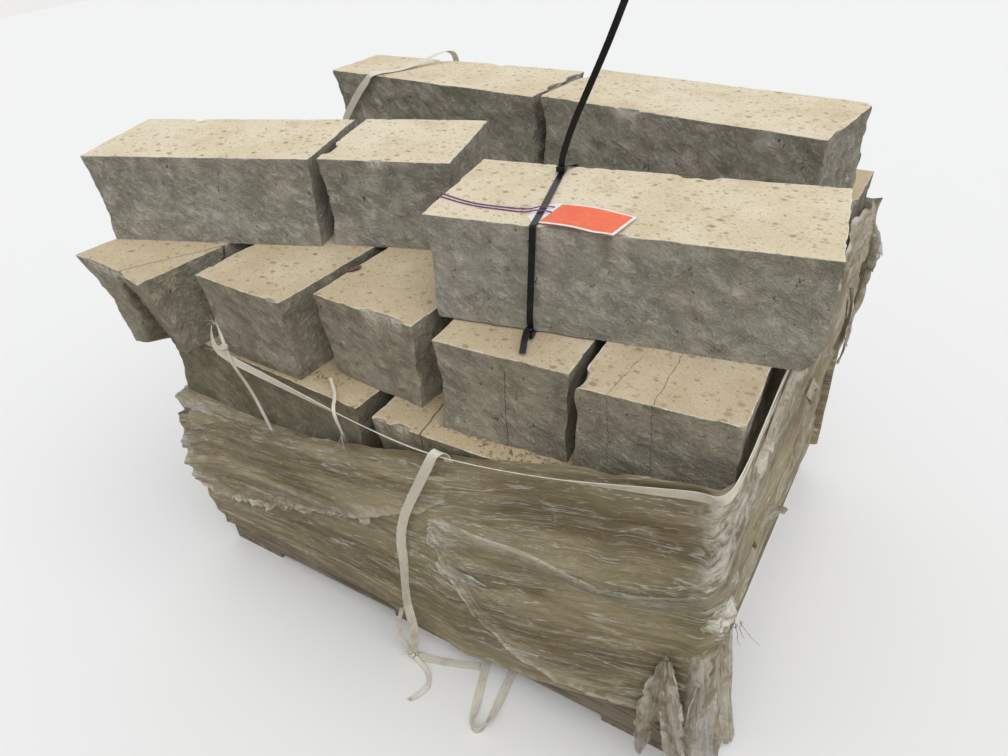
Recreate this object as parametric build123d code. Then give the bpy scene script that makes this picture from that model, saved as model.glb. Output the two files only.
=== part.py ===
from build123d import *
import math
import os

# A pallet of wall stone: five courses of sawn-bed stone on a stringer pallet, held by a band
# of stretch film and loose woven strap. X runs along the front to the right, Y goes back, Z is
# up, and the origin is the middle of the pallet's underside. All sizes are in millimetres.

# Driving sizes of the stone
course_height = 152.0
stone_width = 208.0
bed_joint = 5.0  # space between stones laid side by side in the lower courses
end_joint = 11.0  # space between stones laid end to end
header_joint = 8.75  # space between headers, the stones laid front to back
split_relief = 4.0  # how far the split faces dish in between their corners
chip_relief = 1.6  # how far the sawn beds' edges are chipped back
tie_room = 2.6  # how much lower the stone is that the cable tie runs over

# Driving sizes of the pallet
end_overhang = 4.0  # how far the stone stands past each end of the pallet
side_overhang = 17.0  # how far it stands past the front and the back
board_thickness = 16.0
board_width = 140.0
deck_boards = 6
stringer_height = 89.0
stringer_width = 38.0

# Driving sizes of the wrap, the strap, the ties and the tag
film_thickness = 2.0
film_clearance = 0.6
strip_thickness = 1.0
strap_width = 16.0
strap_thickness = 0.9
frayed_width = 8.0
tie_width = 9.0
tie_thickness = 1.9
tie_clearance = 0.3
head_length = 13.0
head_width = 14.0
head_height = 8.0
head_stand_off = 4.25
tag_length = 133.0
tag_width = 67.0
tag_thickness = 0.5
tag_rise = 4.0
tag_corner_cut = 17.0
string_diameter = 1.8

# Sizes and levels that follow from these
load_length = 5 * stone_width + 4 * header_joint
load_depth = 4 * stone_width + 3 * bed_joint
long_stone = (load_length - end_joint) / 2
pallet_length = load_length - 2 * end_overhang
pallet_width = load_depth - 2 * side_overhang
deck_top = 2 * board_thickness + stringer_height
course_levels = [deck_top + i * course_height for i in range(6)]
load_left = -load_length / 2 - stone_width * 0.067
load_front = -load_depth / 2 - 1


def from_left(widths):
    """X at this many stone widths from the left end of the load."""
    return load_left + widths * stone_width


def from_front(widths):
    """Y at this many stone widths behind the front of the load."""
    return load_front + widths * stone_width


def level(courses):
    """Height at this many courses above the deck. From 0 to -1 it goes down through the pallet
    to the floor."""
    if courses >= 0:
        return deck_top + courses * course_height
    return deck_top * (1 + courses)


def wander(seed, place):
    """A smooth value from 0 to 1 that differs from stone to stone and along each edge."""
    wave = math.sin(seed * 2.399 + place * 1.71) + math.sin(seed * 5.13 + place * 3.07 + 1.3)
    return 0.5 + 0.25 * wave


class Block:
    """The place of one stone: its front left corner, its turn in degrees and its plan size.
    Foot and worn move the four corners at the bottom bed, along and across the stone. A foot
    dies out evenly up to the top, and a worn corner within the lowest third."""

    def __init__(self, name, course, x, y, turn, length, width, narrow=0, thinner=0, foot=None, worn=None):
        self.name = name
        self.x = x
        self.y = y
        self.turn = math.radians(turn)
        self.length = length
        self.width = width
        self.narrow = narrow
        self.foot = foot or ((0, 0),) * 4
        self.worn = worn or ((0, 0),) * 4
        self.seen = course > 2
        self.bottom = course_levels[course]
        self.top = course_levels[course + 1] - thinner

    def spot(self, along, across):
        """The plan point at these distances along and across the stone, from its corner."""
        c = math.cos(self.turn)
        s = math.sin(self.turn)
        return (self.x + along * c - across * s, self.y + along * s + across * c)

    def corners(self, height=1.0):
        """The corners at a height from 0, the bottom bed, to 1, the top bed."""
        plain = ((0, 0), (self.length, 0), (self.length, self.width), (0, self.width - self.narrow))
        wear = max(0.0, 1 - height / 0.34) ** 2
        placed = []
        for (along, across), foot, worn in zip(plain, self.foot, self.worn):
            along += foot[0] * (1 - height) + worn[0] * wear
            across += foot[1] * (1 - height) + worn[1] * wear
            placed.append(self.spot(along, across))
        return placed


def stone_outline(block, seed, height):
    """The stone's outline at a height from 0, its bottom bed, to 1, its top bed. Each side runs
    from corner to corner and dishes in by the split relief, most at mid height."""
    belly = math.sin(math.pi * height)
    depth = chip_relief + (split_relief - chip_relief) * belly
    corners = block.corners(height)
    middle = [sum(p[axis] for p in corners) / 4 for axis in (0, 1)]
    points = []
    for side in range(4):
        start = corners[side]
        end = corners[(side + 1) % 4]
        run = math.dist(start, end)
        normal = ((start[1] - end[1]) / run, (end[0] - start[0]) / run)
        steps = max(2, round(run / 130)) if block.seen else 2
        inward = (split_relief - chip_relief) * 0.6 * belly * wander(seed, side * 7 + height * 3)
        share = inward / math.dist(start, middle)
        points.append(tuple(start[axis] + (middle[axis] - start[axis]) * share for axis in (0, 1)))
        for i in range(1, steps):
            inward = depth * wander(seed, side * 5 + i * 2.3 + height * 4)
            step = [(end[axis] - start[axis]) * i / steps + normal[axis] * inward for axis in (0, 1)]
            points.append((start[0] + step[0], start[1] + step[1]))
    return points


def stone_solid(block, seed):
    """A loft through the outlines, from one sawn bed to the other."""
    heights = (0, 0.1, 0.34, 0.72, 1) if block.seen else (0, 0.5, 1)
    sections = []
    for height in heights:
        z = block.bottom + (block.top - block.bottom) * height
        sections.append(Plane.XY.offset(z) * Polygon(*stone_outline(block, seed, height), align=None))
    return loft(sections, ruled=True)


def open_crack(block):
    """The wedge that gapes at the foot of a cracked header and closes at its top bed."""
    top = [block.spot(along, across) for along, across in ((128.5, -8), (130, -8), (129.5, 46))]
    foot = [block.spot(along, across) for along, across in ((98, -16), (172, -16), (136, 104))]
    high = Plane.XY.offset(block.top + 1) * Polygon(*top, align=None)
    low = Plane.XY.offset(block.bottom - 1) * Polygon(*foot, align=None)
    return loft([low, high], ruled=True)


# The stones of each course
def stretcher_row(prefix, course, x, y, lengths):
    """Long stones end to end along X."""
    blocks = []
    for i, length in enumerate(lengths):
        blocks.append(Block(f"{prefix}_{i + 1}", course, x, y, 0, length, stone_width))
        x += length + end_joint
    return blocks


def stretcher_course(prefix, course, x, y):
    """Four rows of two long stones."""
    blocks = []
    for row in range(4):
        shift = stone_width * (0, 0.03, -0.02, 0.015)[row]
        lengths = (long_stone + 4 - shift, long_stone - 4)
        blocks += stretcher_row(f"{prefix}_row_{row + 1}", course, x + shift, y, lengths)
        y += stone_width + bed_joint
    return blocks


def header_course(prefix, course, x, y):
    """Two long stones along the front and five that run from behind them to the back."""
    blocks = stretcher_row(f"{prefix}_front", course, x + 4, y, (long_stone - 10, long_stone + 2))
    header_length = 3 * stone_width + 2 * bed_joint - 14
    y += stone_width + bed_joint + 4
    for i in range(5):
        length = header_length - stone_width * (0, 0.06, 0.02, 0.08, 0.035)[i]
        blocks.append(Block(f"{prefix}_header_{i + 1}", course, x, y, 0, stone_width, length))
        x += stone_width + header_joint
    return blocks


course_1 = stretcher_course("course_1", 0, load_left, load_front + 1)
course_2 = header_course("course_2", 1, load_left + 5, load_front - 1)
course_3 = [
    Block(
        "course_3_front_left",
        2,
        from_left(0.142),
        from_front(0.099),
        -3.6,
        long_stone - stone_width * 0.13,
        stone_width * 0.96,
    ),
    Block(
        "course_3_front_right",
        2,
        from_left(2.728),
        from_front(-0.089),
        1.4,
        long_stone,
        stone_width,
    ),
]
for block in course_3:
    block.seen = True
inner_y = from_front(1.04) + 2 * bed_joint
for row in range(3):
    row_x = from_left((0.038, 0.01, 0.048)[row])
    course_3 += stretcher_row(f"course_3_row_{row + 2}", 2, row_x, inner_y, (long_stone - 6, long_stone))
    inner_y += stone_width + bed_joint
back_y = inner_y - stone_width - bed_joint + 2

cracked_header = Block(
    "course_4_header_1",
    3,
    from_left(-0.339),
    from_front(-0.156),
    -6.9,
    stone_width * 1.029,
    long_stone - stone_width * 0.02,
    foot=((95, 7), (6, 37), (0, 0), (40, 0)),
)
short_header = Block(
    "course_4_header_4",
    3,
    from_left(3.257),
    from_front(0.094),
    3.5,
    stone_width * 1.005,
    long_stone - stone_width * 1.029,
    thinner=tie_room,
    foot=((2, -7), (-4, -3), (0, 0), (0, 0)),
)
course_4 = [
    cracked_header,
    Block(
        "course_4_header_2",
        3,
        from_left(0.959),
        from_front(0.046),
        -3.2,
        stone_width * 0.995,
        long_stone + stone_width * 0.038,
        worn=((10, 6), (-6, 9), (0, 0), (0, 0)),
    ),
    Block(
        "course_4_header_3",
        3,
        from_left(2.07),
        from_front(0.214),
        -3.2,
        stone_width * 0.981,
        long_stone,
        foot=((0, 0), (-3, 0), (0, 0), (0, 0)),
        worn=((12, 9), (-4, 4), (0, 0), (0, 0)),
    ),
    short_header,
    Block(
        "course_4_infill",
        3,
        *short_header.spot(stone_width * 0.091, short_header.width + stone_width * 0.101),
        1.2,
        stone_width * 0.942,
        stone_width * 0.98,
    ),
    Block(
        "course_4_header_5",
        3,
        from_left(4.334),
        from_front(0.041),
        3.5,
        stone_width * 1.019,
        long_stone - stone_width * 0.058,
        foot=((-8, 0), (0, -4), (0, 0), (0, 0)),
    ),
    Block(
        "course_4_back_left",
        3,
        from_left(-0.07),
        back_y,
        0.6,
        long_stone + stone_width * 0.106,
        stone_width,
    ),
    Block(
        "course_4_back_right",
        3,
        from_left(2.68),
        back_y + 4,
        -0.4,
        long_stone + stone_width * 0.144,
        stone_width + 2,
    ),
]

tied_stone = Block(
    "top_stone_front_right",
    4,
    from_left(3.07),
    from_front(0.387),
    8.9,
    long_stone - stone_width * 0.014,
    stone_width * 1.038,
    foot=((6, -11), (8, -7), (6, 0), (0, 0)),
    worn=((4, 3), (-30, 6), (-10, 0), (0, 0)),
)
front_left_stone = Block(
    "top_stone_front_left",
    4,
    from_left(-0.373),
    from_front(0.228),
    18.7,
    stone_width * 2.096,
    stone_width * 1.005,
    foot=((14, -12), (0, -10), (0, 0), (0, 0)),
    worn=((6, 0), (-5, 4), (0, 0), (0, 0)),
)
strapped_stone = Block(
    "top_stone_back_left",
    4,
    from_left(-0.185),
    back_y + 0.5,
    -4.6,
    long_stone + stone_width * 0.096,
    stone_width * 0.971,
    narrow=stone_width * 0.2115,
)
top_stones = [
    tied_stone,
    front_left_stone,
    Block(
        "top_stone_front_middle",
        4,
        *front_left_stone.spot(front_left_stone.length + stone_width * 0.049, stone_width * 0.01),
        16.2,
        stone_width * 1.115,
        stone_width * 1.019,
        worn=((0, 0), (-6, 5), (0, 0), (0, 0)),
    ),
    strapped_stone,
    Block(
        "top_stone_back_right",
        4,
        *strapped_stone.spot(strapped_stone.length + stone_width * 0.028, stone_width * 0.057),
        -7.9,
        long_stone + stone_width * 0.067,
        stone_width * 1.029,
        worn=((0, 0), (-8, 3), (-6, 0), (0, 0)),
    ),
]


def pallet():
    """Three stringers along X with boards across them, above and below."""
    boards = []
    pitch = (pallet_length - board_width) / (deck_boards - 1)
    stringer_level = board_thickness + stringer_height / 2
    board = Box(board_width, pallet_width, board_thickness)
    for i in range(deck_boards):
        x = -pallet_length / 2 + board_width / 2 + i * pitch
        boards.append(Pos(x, 0, deck_top - board_thickness / 2) * board)
    bottoms = []
    for x in (-1, 0, 1):
        x *= (pallet_length - board_width) / 2
        bottoms.append(Pos(x, 0, board_thickness / 2) * board)
    stringers = []
    for y in (-1, 0, 1):
        y *= (pallet_width - stringer_width) / 2
        stringers.append(Pos(0, y, stringer_level) * Box(pallet_length, stringer_width, stringer_height))
    return boards, stringers, bottoms


def convex_hull(points):
    """The corners of the tightest loop round the points, anticlockwise from the left."""
    ordered = sorted(set(points))
    loop = []
    for line in (ordered, ordered[::-1]):
        side = []
        for p in line:
            while len(side) > 1:
                a, b = side[-2], side[-1]
                if (b[0] - a[0]) * (p[1] - a[1]) - (b[1] - a[1]) * (p[0] - a[0]) > 1:
                    break
                side.pop()
            side.append(p)
        loop += side[:-1]
    return loop


wrapped = course_1 + course_2 + course_3 + course_4[5:]
wrap_loop = convex_hull([p for block in wrapped for height in (0, 1) for p in block.corners(height)])
wrap_low_x = min(p[0] for p in wrap_loop)
wrap_high_x = max(p[0] for p in wrap_loop)
wrap_low_y = min(p[1] for p in wrap_loop)
wrap_high_y = max(p[1] for p in wrap_loop)

# The film's upper edge in courses above the deck, and its lower edge as shares of the deck's
# height. Both go round anticlockwise from the front left corner: front, right, back, left.
film_top = (
    (1.5, 1.96, 2.11, 2.35, 2.61, 2.86, 3.14, 3.37, 3.55),
    (3.55, 3.74, 3.89, 3.95, 4.37, 4.5, 4.43, 4.27),
    (4.27, 3.84, 3.41, 3.22, 3.09, 2.89),
    (2.89, 2.72, 2.5, 2.2, 1.86, 1.5),
)
film_low = (
    (0.4, 0.5, 0.73, 0.71, 0.6, 0.3, 0.51, 0.97, 1.4),
    (1.4, 1.1, 0.8, 0.7, 0.63, 0.66),
    (0.66, 0.51, 0.63, 0.58, 0.7, 0.74),
    (0.74, 0.79, 0.66, 0.6, 0.52, 0.4),
)


def edge_cutter(side, heights, far_z):
    """A prism over one side of the band, from the curve through the heights to far_z."""
    reach = stone_width * 0.288
    inset = stone_width * 0.096
    low_x = wrap_low_x - reach
    high_x = wrap_high_x + reach
    low_y = wrap_low_y - reach
    high_y = wrap_high_y + reach
    if side in (1, 3):
        low_y = wrap_low_y + inset
        high_y = wrap_high_y - inset
    starts = ((low_x, low_y), (high_x, low_y), (high_x, high_y), (low_x, high_y))
    start = starts[side]
    end = starts[(side + 1) % 4]
    points = []
    for i, z in enumerate(heights):
        t = i / (len(heights) - 1)
        points.append((start[0] + (end[0] - start[0]) * t, start[1] + (end[1] - start[1]) * t, z))
    edge = Spline(*points)
    rest = Polyline(points[-1], (*end, far_z), (*start, far_z), points[0])
    depth = (reach + inset, reach + stone_width * 1.4)[side % 2]
    inward = ((0, 1, 0), (-1, 0, 0), (0, -1, 0), (1, 0, 0))[side]
    return extrude(make_face([edge, rest]), amount=depth, dir=inward)


def stretch_film():
    """A band round the load whose upper and lower edges rise and fall."""
    loop = make_face(Polyline(*wrap_loop, close=True))
    inner = offset(loop, amount=film_clearance, kind=Kind.ARC)
    outer = offset(loop, amount=film_clearance + film_thickness, kind=Kind.ARC)
    tops = [[level(courses) for courses in side] for side in film_top]
    lows = [[share * deck_top for share in side] for side in film_low]
    spare = board_thickness
    low = min(min(heights) for heights in lows) - spare
    high = max(max(heights) for heights in tops) + spare
    band = extrude(Pos(0, 0, low) * (outer - inner), amount=high - low)
    for side in range(4):
        band -= edge_cutter(side, tops[side], high + 2 * spare)
        band -= edge_cutter(side, lows[side], low - 2 * spare)
    return band


def on_film(side, widths, out):
    """The plan point this far out from the film's outer face. On side 0, the front, widths count
    from the left, and on side 1, the right, they count from the front."""
    place = from_left(widths) if side == 0 else from_front(widths)
    reach = film_clearance + film_thickness + out
    for a, b in zip(wrap_loop, wrap_loop[1:]):
        t = (place - a[side]) / (b[side] - a[side]) if b[side] > a[side] else -1
        faces_out = (b[1] - a[1] < b[0] - a[0]) == (side == 0)
        if 0 <= t <= 1 and faces_out:
            if side == 0:
                return (place, a[1] + (b[1] - a[1]) * t - reach)
            return (a[0] + (b[0] - a[0]) * t + reach, place)
    return (place, wrap_low_y - reach) if side == 0 else (wrap_high_x + reach, place)


def film_route(stops):
    """A route of (point, way its broad face looks) from stops of (side, stone widths along that
    side, distance out from the film, courses above the deck, look)."""
    route = []
    for side, widths, out, courses, look in stops:
        route.append(((*on_film(side, widths, out), level(courses)), look))
    return route


def floor_route(stops):
    """A route from stops of (stone widths from the left, from the front, height, look)."""
    return [((from_left(x), from_front(y), z), look) for x, y, z, look in stops]


def stone_route(block, stops):
    """A route from stops of (distance along the stone, distance across it, height)."""
    return [(*block.spot(along, across), z) for along, across, z in stops]


def route_radii(points):
    """For each corner of a route, 0.45 of its shorter run over the tangent of half its turn."""
    radii = []
    for a, b, c in zip(points, points[1:], points[2:]):
        first = Vector(*b) - Vector(*a)
        second = Vector(*c) - Vector(*b)
        half_turn = math.radians(first.get_angle(second)) / 2
        radii.append(0.45 * min(first.length, second.length) / math.tan(half_turn))
    return radii


def route_path(name, points, tightest=None):
    """Straight runs joined by tangent arcs. Tightest is the radius of a right-angled fold."""
    radii = route_radii(points)
    if tightest:
        radii = [min(radius, tightest) if radius < 12 * tightest else radius for radius in radii]
    path = FilletPolyline(*points, radius=radii)
    print(name, "length", round(path.length), "radii", [round(r) for r in radii])
    return path


def faceted(loops):
    """A solid with flat triangles from loop to loop of corners, and a flat face on each end.
    Opposite walls split along the same diagonal, so they stay clear of each other in a twist."""
    faces = [Face(Wire.make_polygon(loop)) for loop in (loops[0], loops[-1])]
    for first, second in zip(loops, loops[1:]):
        for i, a in enumerate(first):
            b = first[i - 1]
            c = second[i - 1]
            d = second[i]
            if i < len(first) / 2:
                triangles = [[a, b, c], [a, c, d]]
            else:
                triangles = [[a, b, d], [b, c, d]]
            faces += [Face(Wire.make_polygon(triangle)) for triangle in triangles]
    return Solid(Shell(faces))


def carried(name, route, outlines, tightest=None):
    """A solid whose outline is carried along a route of (point, way its broad face looks).
    Outlines holds the corners, across and up, at each point of the route. Each bend has a
    section at its ends and its middle."""
    points = [p for p, look in route]
    looks = [Vector(*look).normalized() for p, look in route]
    path = route_path(name, points, tightest)
    stops = []
    for edge in path.edges():
        stops += [(edge, t) for t in ((0, 0.5) if edge.geom_type == GeomType.CIRCLE else (0,))]
    stops.append((path.edges()[-1], 1))
    runs = [math.dist(a, b) for a, b in zip(points, points[1:])]
    loops = []
    for edge, t in stops:
        place = edge @ t
        spans = [math.dist(p, tuple(place)) for p in points]
        near = min(range(len(runs)), key=lambda i: spans[i] + spans[i + 1] - runs[i])
        share = spans[near] / (spans[near] + spans[near + 1])
        look = looks[near] * (1 - share) + looks[near + 1] * share
        plane = Plane(origin=place, x_dir=(edge % t).cross(look), z_dir=edge % t)
        corners = []
        for a, b in zip(outlines[near], outlines[near + 1]):
            corners.append(tuple(a[axis] * (1 - share) + b[axis] * share for axis in (0, 1)))
        loops.append([plane.from_local_coords(corner) for corner in corners])
    return faceted(loops)


def flat_band(name, route, widths, thickness, tightest=None):
    """A flat band along a route. Widths is one width, or one for each point of the route."""
    if not isinstance(widths, (list, tuple)):
        widths = [widths] * len(route)
    outlines = []
    for width in widths:
        x = width / 2
        y = thickness / 2
        outlines.append([(x, y), (-x, y), (-x, -y), (x, -y)])
    return carried(name, route, outlines, tightest)


def cord_tube(name, route, diameter):
    """A thin round cord along a route, with six flat sides."""
    outline = []
    for i in range(6):
        angle = i * math.pi / 3
        outline.append((diameter / 2 * math.cos(angle), diameter / 2 * math.sin(angle)))
    return carried(name, route, [outline] * len(route))


# Routes of the loose strap
strap_front_route = film_route(
    [
        (0, 0.825, -34.7, 3.191, (0, -1, 0.2)),
        (0, 0.988, -3.8, 3.145, (0.1, -1, 0.2)),
        (0, 1.248, 1.4, 3.086, (0, -1, 0.1)),
        (0, 1.522, 0.6, 3.039, (0, -0.8, -0.4)),
        (0, 2.065, 3.4, 2.98, (0, -0.6, -0.64)),
        (0, 2.651, 6.9, 2.928, (0, -0.6, -0.64)),
        (0, 3.219, 9.3, 2.868, (0, -0.6, -0.64)),
        (0, 3.786, 9.2, 2.961, (0, -0.6, -0.64)),
        (0, 4.363, 9.1, 3.138, (0, -0.6, -0.64)),
        (0, 4.93, 5.8, 3.329, (0, -0.9, -0.3)),
        (0, 5.19, 4.8, 3.428, (0.1, -1, -0.1)),
        (0, 5.358, 2.4, 3.5, (0.6, -0.8, 0)),
        (1, 0.161, 2, 3.572, (1, -0.1, 0)),
        (1, 0.454, 1.4, 3.691, (1, 0, 0)),
        (1, 1.002, 1.2, 3.914, (1, 0, 0)),
    ]
)
strap_knot_tail_route = film_route(
    [
        (0, 1.103, -13.1, 3.48, (0, -1, 0)),
        (0, 1.166, -6, 3.322, (0.3, -1, 0.3)),
        (0, 1.243, 3.2, 3.151, (0, -1, 0.1)),
        (0, 1.276, 3.3, 3.007, (0, -1, 0)),
        (0, 1.3, -5.9, 2.757, (0, -1, 0)),
        (0, 1.344, -10.7, 2.474, (0, -1, 0)),
        (0, 1.421, -9.7, 2.099, (0, -1, 0)),
    ]
)
strap_frayed_tail_route = film_route(
    [
        (0, 2.151, -45.7, 3.046, (0.4, -0.3, 1)),
        (0, 2.267, -28.5, 3.039, (0.5, -0.6, 0.7)),
        (0, 2.363, -9.1, 3.046, (0.7, -0.8, 0.4)),
        (0, 2.43, 10.6, 3.053, (0.6, -0.9, 0.1)),
        (0, 2.459, 16.2, 2.947, (0.3, -1, 0)),
        (0, 2.459, 11.2, 2.789, (0, -1, 0)),
        (0, 2.44, 6.4, 2.678, (0, -1, 0)),
    ]
)
strap_hanging_route = film_route(
    [
        (0, 3.425, 1.8, 2.816, (0, 1, 0)),
        (0, 3.401, 1.9, 2.934, (0, 1, 0.4)),
        (0, 3.373, 17.2, 2.993, (0, -0.5, 0.9)),
        (0, 3.31, 21.2, 2.809, (0.2, -1, 0.1)),
        (0, 3.19, 18.7, 2.493, (0.2, -1, 0)),
        (0, 3.017, 16.9, 2.033, (0.2, -1, 0)),
        (0, 2.911, 14.3, 1.684, (0.3, -1, 0)),
        (0, 2.858, 14.1, 1.342, (0.9, -1, 0)),
        (0, 2.849, 13, 1.046, (1, -0.5, 0)),
        (0, 2.796, 12.7, 0.553, (1, -0.2, 0)),
        (0, 2.791, 15.7, 0.191, (1, -0.4, 0)),
        (0, 2.834, 19.9, -0.132, (1, -0.8, 0)),
        (0, 2.8, 19.8, -0.587, (1, -0.6, 0)),
        (0, 2.748, 16.5, -0.898, (1, -0.4, 0)),
    ]
)
strap_cut_end_route = floor_route(
    [
        (2.788, -0.18, 4.2, (0, 0, 1)),
        (2.873, -0.156, 1.4, (0, 0, 1)),
        (3.055, -0.103, 0.7, (0, 0, 1)),
        (3.363, 0.012, 0.6, (0, 0, 1)),
    ]
)
strap_curl_route = floor_route(
    [
        (2.783, -0.209, 6.5, (0, -0.3, 1)),
        (2.863, -0.233, 4.6, (0, -0.3, 1)),
        (2.969, -0.267, 3.4, (0.4, -0.2, 0.9)),
        (3.046, -0.344, 3.4, (0.6, 0, 0.8)),
        (3.07, -0.44, 3.4, (0.5, 0.2, 0.8)),
        (2.988, -0.565, 2.6, (0, 0.3, 1)),
    ]
)
strap_small_loop_route = film_route(
    [
        (0, 2.748, 20.5, 0.191, (1, -0.8, 0)),
        (0, 2.695, 22.6, -0.025, (1, -1, 0)),
        (0, 2.661, 24.9, -0.306, (1, -1, 0)),
        (0, 2.68, 23.7, -0.636, (1, -1, 0)),
        (0, 2.726, 19.4, -0.896, (1, -1, 0)),
    ]
)
strap_ground_loop_route = floor_route(
    [
        (3.315, 0.252, 0.6, (0, 0, 1)),
        (3.382, 0.094, 0.6, (0, 0, 1)),
        (3.507, -0.257, 0.6, (0, 0, 1)),
        (3.565, -0.421, 5.4, (-0.5, -0.2, 0.8)),
        (3.599, -0.507, 9.4, (-0.8, -0.6, 0.15)),
        (3.666, -0.55, 9.2, (0.2, -1, 0)),
        (3.724, -0.483, 9.4, (0.9, -0.3, -0.15)),
        (3.714, -0.353, 5.6, (0.5, 0, -0.8)),
        (3.671, -0.075, 0.6, (0, 0, -1)),
        (3.627, 0.252, 0.6, (0, 0, -1)),
    ]
)


def over_stone_route(block):
    """The strap over a top stone: up its front face, in a low arch over its top bed to the back
    and down behind it."""
    forward = (math.sin(block.turn), -math.cos(block.turn), 0)
    back = block.width - block.narrow * 0.62
    top = block.top
    low = block.bottom
    face = -0.3 - strap_thickness / 2
    lie = 0.3 + strap_thickness / 2
    up = (0, 0, 1)
    stops = (
        (5, face, low + 3, forward),
        (13, face, low + 30, forward),
        (31, face, low + 58, forward),
        (86, face, low + 117, forward),
        (119, face - 1.6, top - 9, (forward[0], forward[1], 0.3)),
        (129, -3.6, top + 4.8, (forward[0], forward[1], 1)),
        (142, 18, top + 3.8, up),
        (163, 58, top + lie + 0.4, up),
        (188, 108, top + 11, up),
        (206, back - 26, top + 22, (0, 0.3, 1)),
        (215, back - 3, top + 21, (0, 0.8, 0.7)),
        (219, back + 9, top + 6, (0, 1, 0.2)),
        (222, back + 6, top - 30, (0, 1, 0)),
        (226, back + 3, low + 70, (0, 1, 0)),
        (229, back + 5, low + 6, (0, 1, 0)),
    )
    return [((*block.spot(along, across), z), look) for along, across, z, look in stops]


def strap_knot(x, y, z, size):
    """A tight overhand knot, as the rounded lump that its turns make."""
    length, width, height = size
    lump = Box(length, width, height)
    return Pos(x, y, z) * chamfer(lump.edges(), height * 0.2)


# Cable ties
def tie_head(slot_start):
    """The head of a cable tie, standing on its own origin, with the slot through it."""
    head = Pos(0, 0, head_height / 2) * Box(head_width, head_length, head_height)
    head = fillet(head.edges().filter_by(Axis.Z), 1.6)
    head = chamfer(head.faces().sort_by(Axis.Z)[-1].edges(), 0.7)
    slot = Box(tie_width + 0.8, tie_thickness + 0.8, 3 * head_height)
    pawl = Pos(0, slot_start, head_height) * Box(tie_width - 2, 2.2, 1.6)
    return head - slot - pawl


def tie(name, block, head_at, stops, looks):
    """One tie: a band through the stops, which starts inside its head."""
    along, across, z = head_at
    turn = math.degrees(block.turn)
    head = Pos(*block.spot(along, across), z) * Rot(0, 0, turn) * tie_head(3.4)
    route = list(zip(stone_route(block, stops), looks))
    band = flat_band(name, route, tie_width, tie_thickness, tightest=3.0)
    return band + head


def tie_parts(block):
    """Two ties chained round a stone. Each one's tail runs under the other's head, turns up
    through its slot and comes out on top."""
    forward = (math.sin(block.turn), -math.cos(block.turn), 0)
    back = (-forward[0], -forward[1], 0)
    up = (0, 0, 1)
    down = (0, 0, -1)
    lie = tie_clearance + tie_thickness / 2
    over = lie + tag_thickness + 0.15
    top = block.top
    low = block.bottom
    under = low - tie_room / 2
    front_place = block.length * 0.3
    low_head = (front_place - 1, -20, low - tie_room + 3.6)
    top_head = (block.length * 0.262, 182, top + head_stand_off)
    long_stops = [
        (low_head[0], -16.2, low_head[2] + 3.4),
        (front_place - 1.6, -12.6, low + 9),
        (front_place - 2.4, -11.2 - lie, low + 22),
        (front_place + 2, -2.6 - lie, top - 34),
        (front_place + 4, -1.9, top + over + 0.5),
        (front_place - 1, 44, top + over),
        (top_head[0] + 2.4, 164, top + over),
        (top_head[0], 182, top + over),
        (top_head[0], 182, top + 20),
        (top_head[0] + 7, 181, top + 42),
        (top_head[0] + 21, 178, top + 78),
        (top_head[0] + 44, 174, top + 126),
        (top_head[0] + 71, 169, top + 183),
        (top_head[0] + 94, 165, top + 238),
    ]
    front_bend = (forward[0], forward[1], 1)
    back_bend = (back[0], back[1], 1)
    long_looks = [forward] * 4 + [front_bend] + [up] * 2 + [front_bend] + [forward] * 6
    short_stops = [
        (top_head[0], 185.8, top_head[2] + 3.4),
        (top_head[0] + 1, 196, top_head[2] + 3.2),
        (top_head[0] + 5, 209, top + 4.4),
        (top_head[0] + 9, block.width + 1.8, top + 1.4),
        (top_head[0] + 10, block.width + lie, top - 30),
        (front_place - 4, block.width + lie, low + 30),
        (front_place - 2, block.width + 1.9, under),
        (front_place - 1, -20, under),
        (front_place - 1, -20, low_head[2] + 11.4),
        (front_place + 0.5, -33, low_head[2] + 14.5),
        (front_place + 3.5, -50, low_head[2] + 10),
        (front_place + 6, -64, low_head[2] + 1),
    ]
    short_looks = [up] * 3 + [back_bend] + [back] * 2
    short_looks += [(back[0], back[1], -1), (forward[0], forward[1], -1), forward, front_bend, up, up]
    long_tie = tie("long tie", block, low_head, long_stops, long_looks)
    short_tie = tie("short tie", block, top_head, short_stops, short_looks)
    return long_tie, short_tie


# Tag and string
def tag_sheet(block):
    """A sheet that lies flat at its tied end and arches a little on the rest of its length, with
    the tied end's corners cut off."""
    flat = tag_length * 0.17
    middle = (flat + tag_length) / 2
    lower = [Line((0, 0), (flat, 0)), ThreePointArc((flat, 0), (middle, tag_rise), (tag_length, 0))]
    lift = tag_thickness
    upper_arc = ThreePointArc((flat, lift), (middle, tag_rise + lift), (tag_length, lift))
    upper = [Line((0, lift), (flat, lift)), upper_arc]
    ends = [Line((0, 0), (0, lift)), Line((tag_length, 0), (tag_length, lift))]
    sheet = extrude(Plane.XZ * make_face(lower + upper + ends), amount=tag_width)
    for corner in (0, -tag_width):
        cut = Rectangle(tag_corner_cut * math.sqrt(2), tag_corner_cut * math.sqrt(2))
        sheet -= extrude(Pos(0, corner, -1) * Rot(0, 0, 45) * cut, amount=tag_rise + 3)
    place = block.spot(block.length * 0.287, block.width * 0.375)
    return Pos(*place, block.top + 0.05) * Rot(0, 0, math.degrees(block.turn) - 11.1) * sheet


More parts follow.
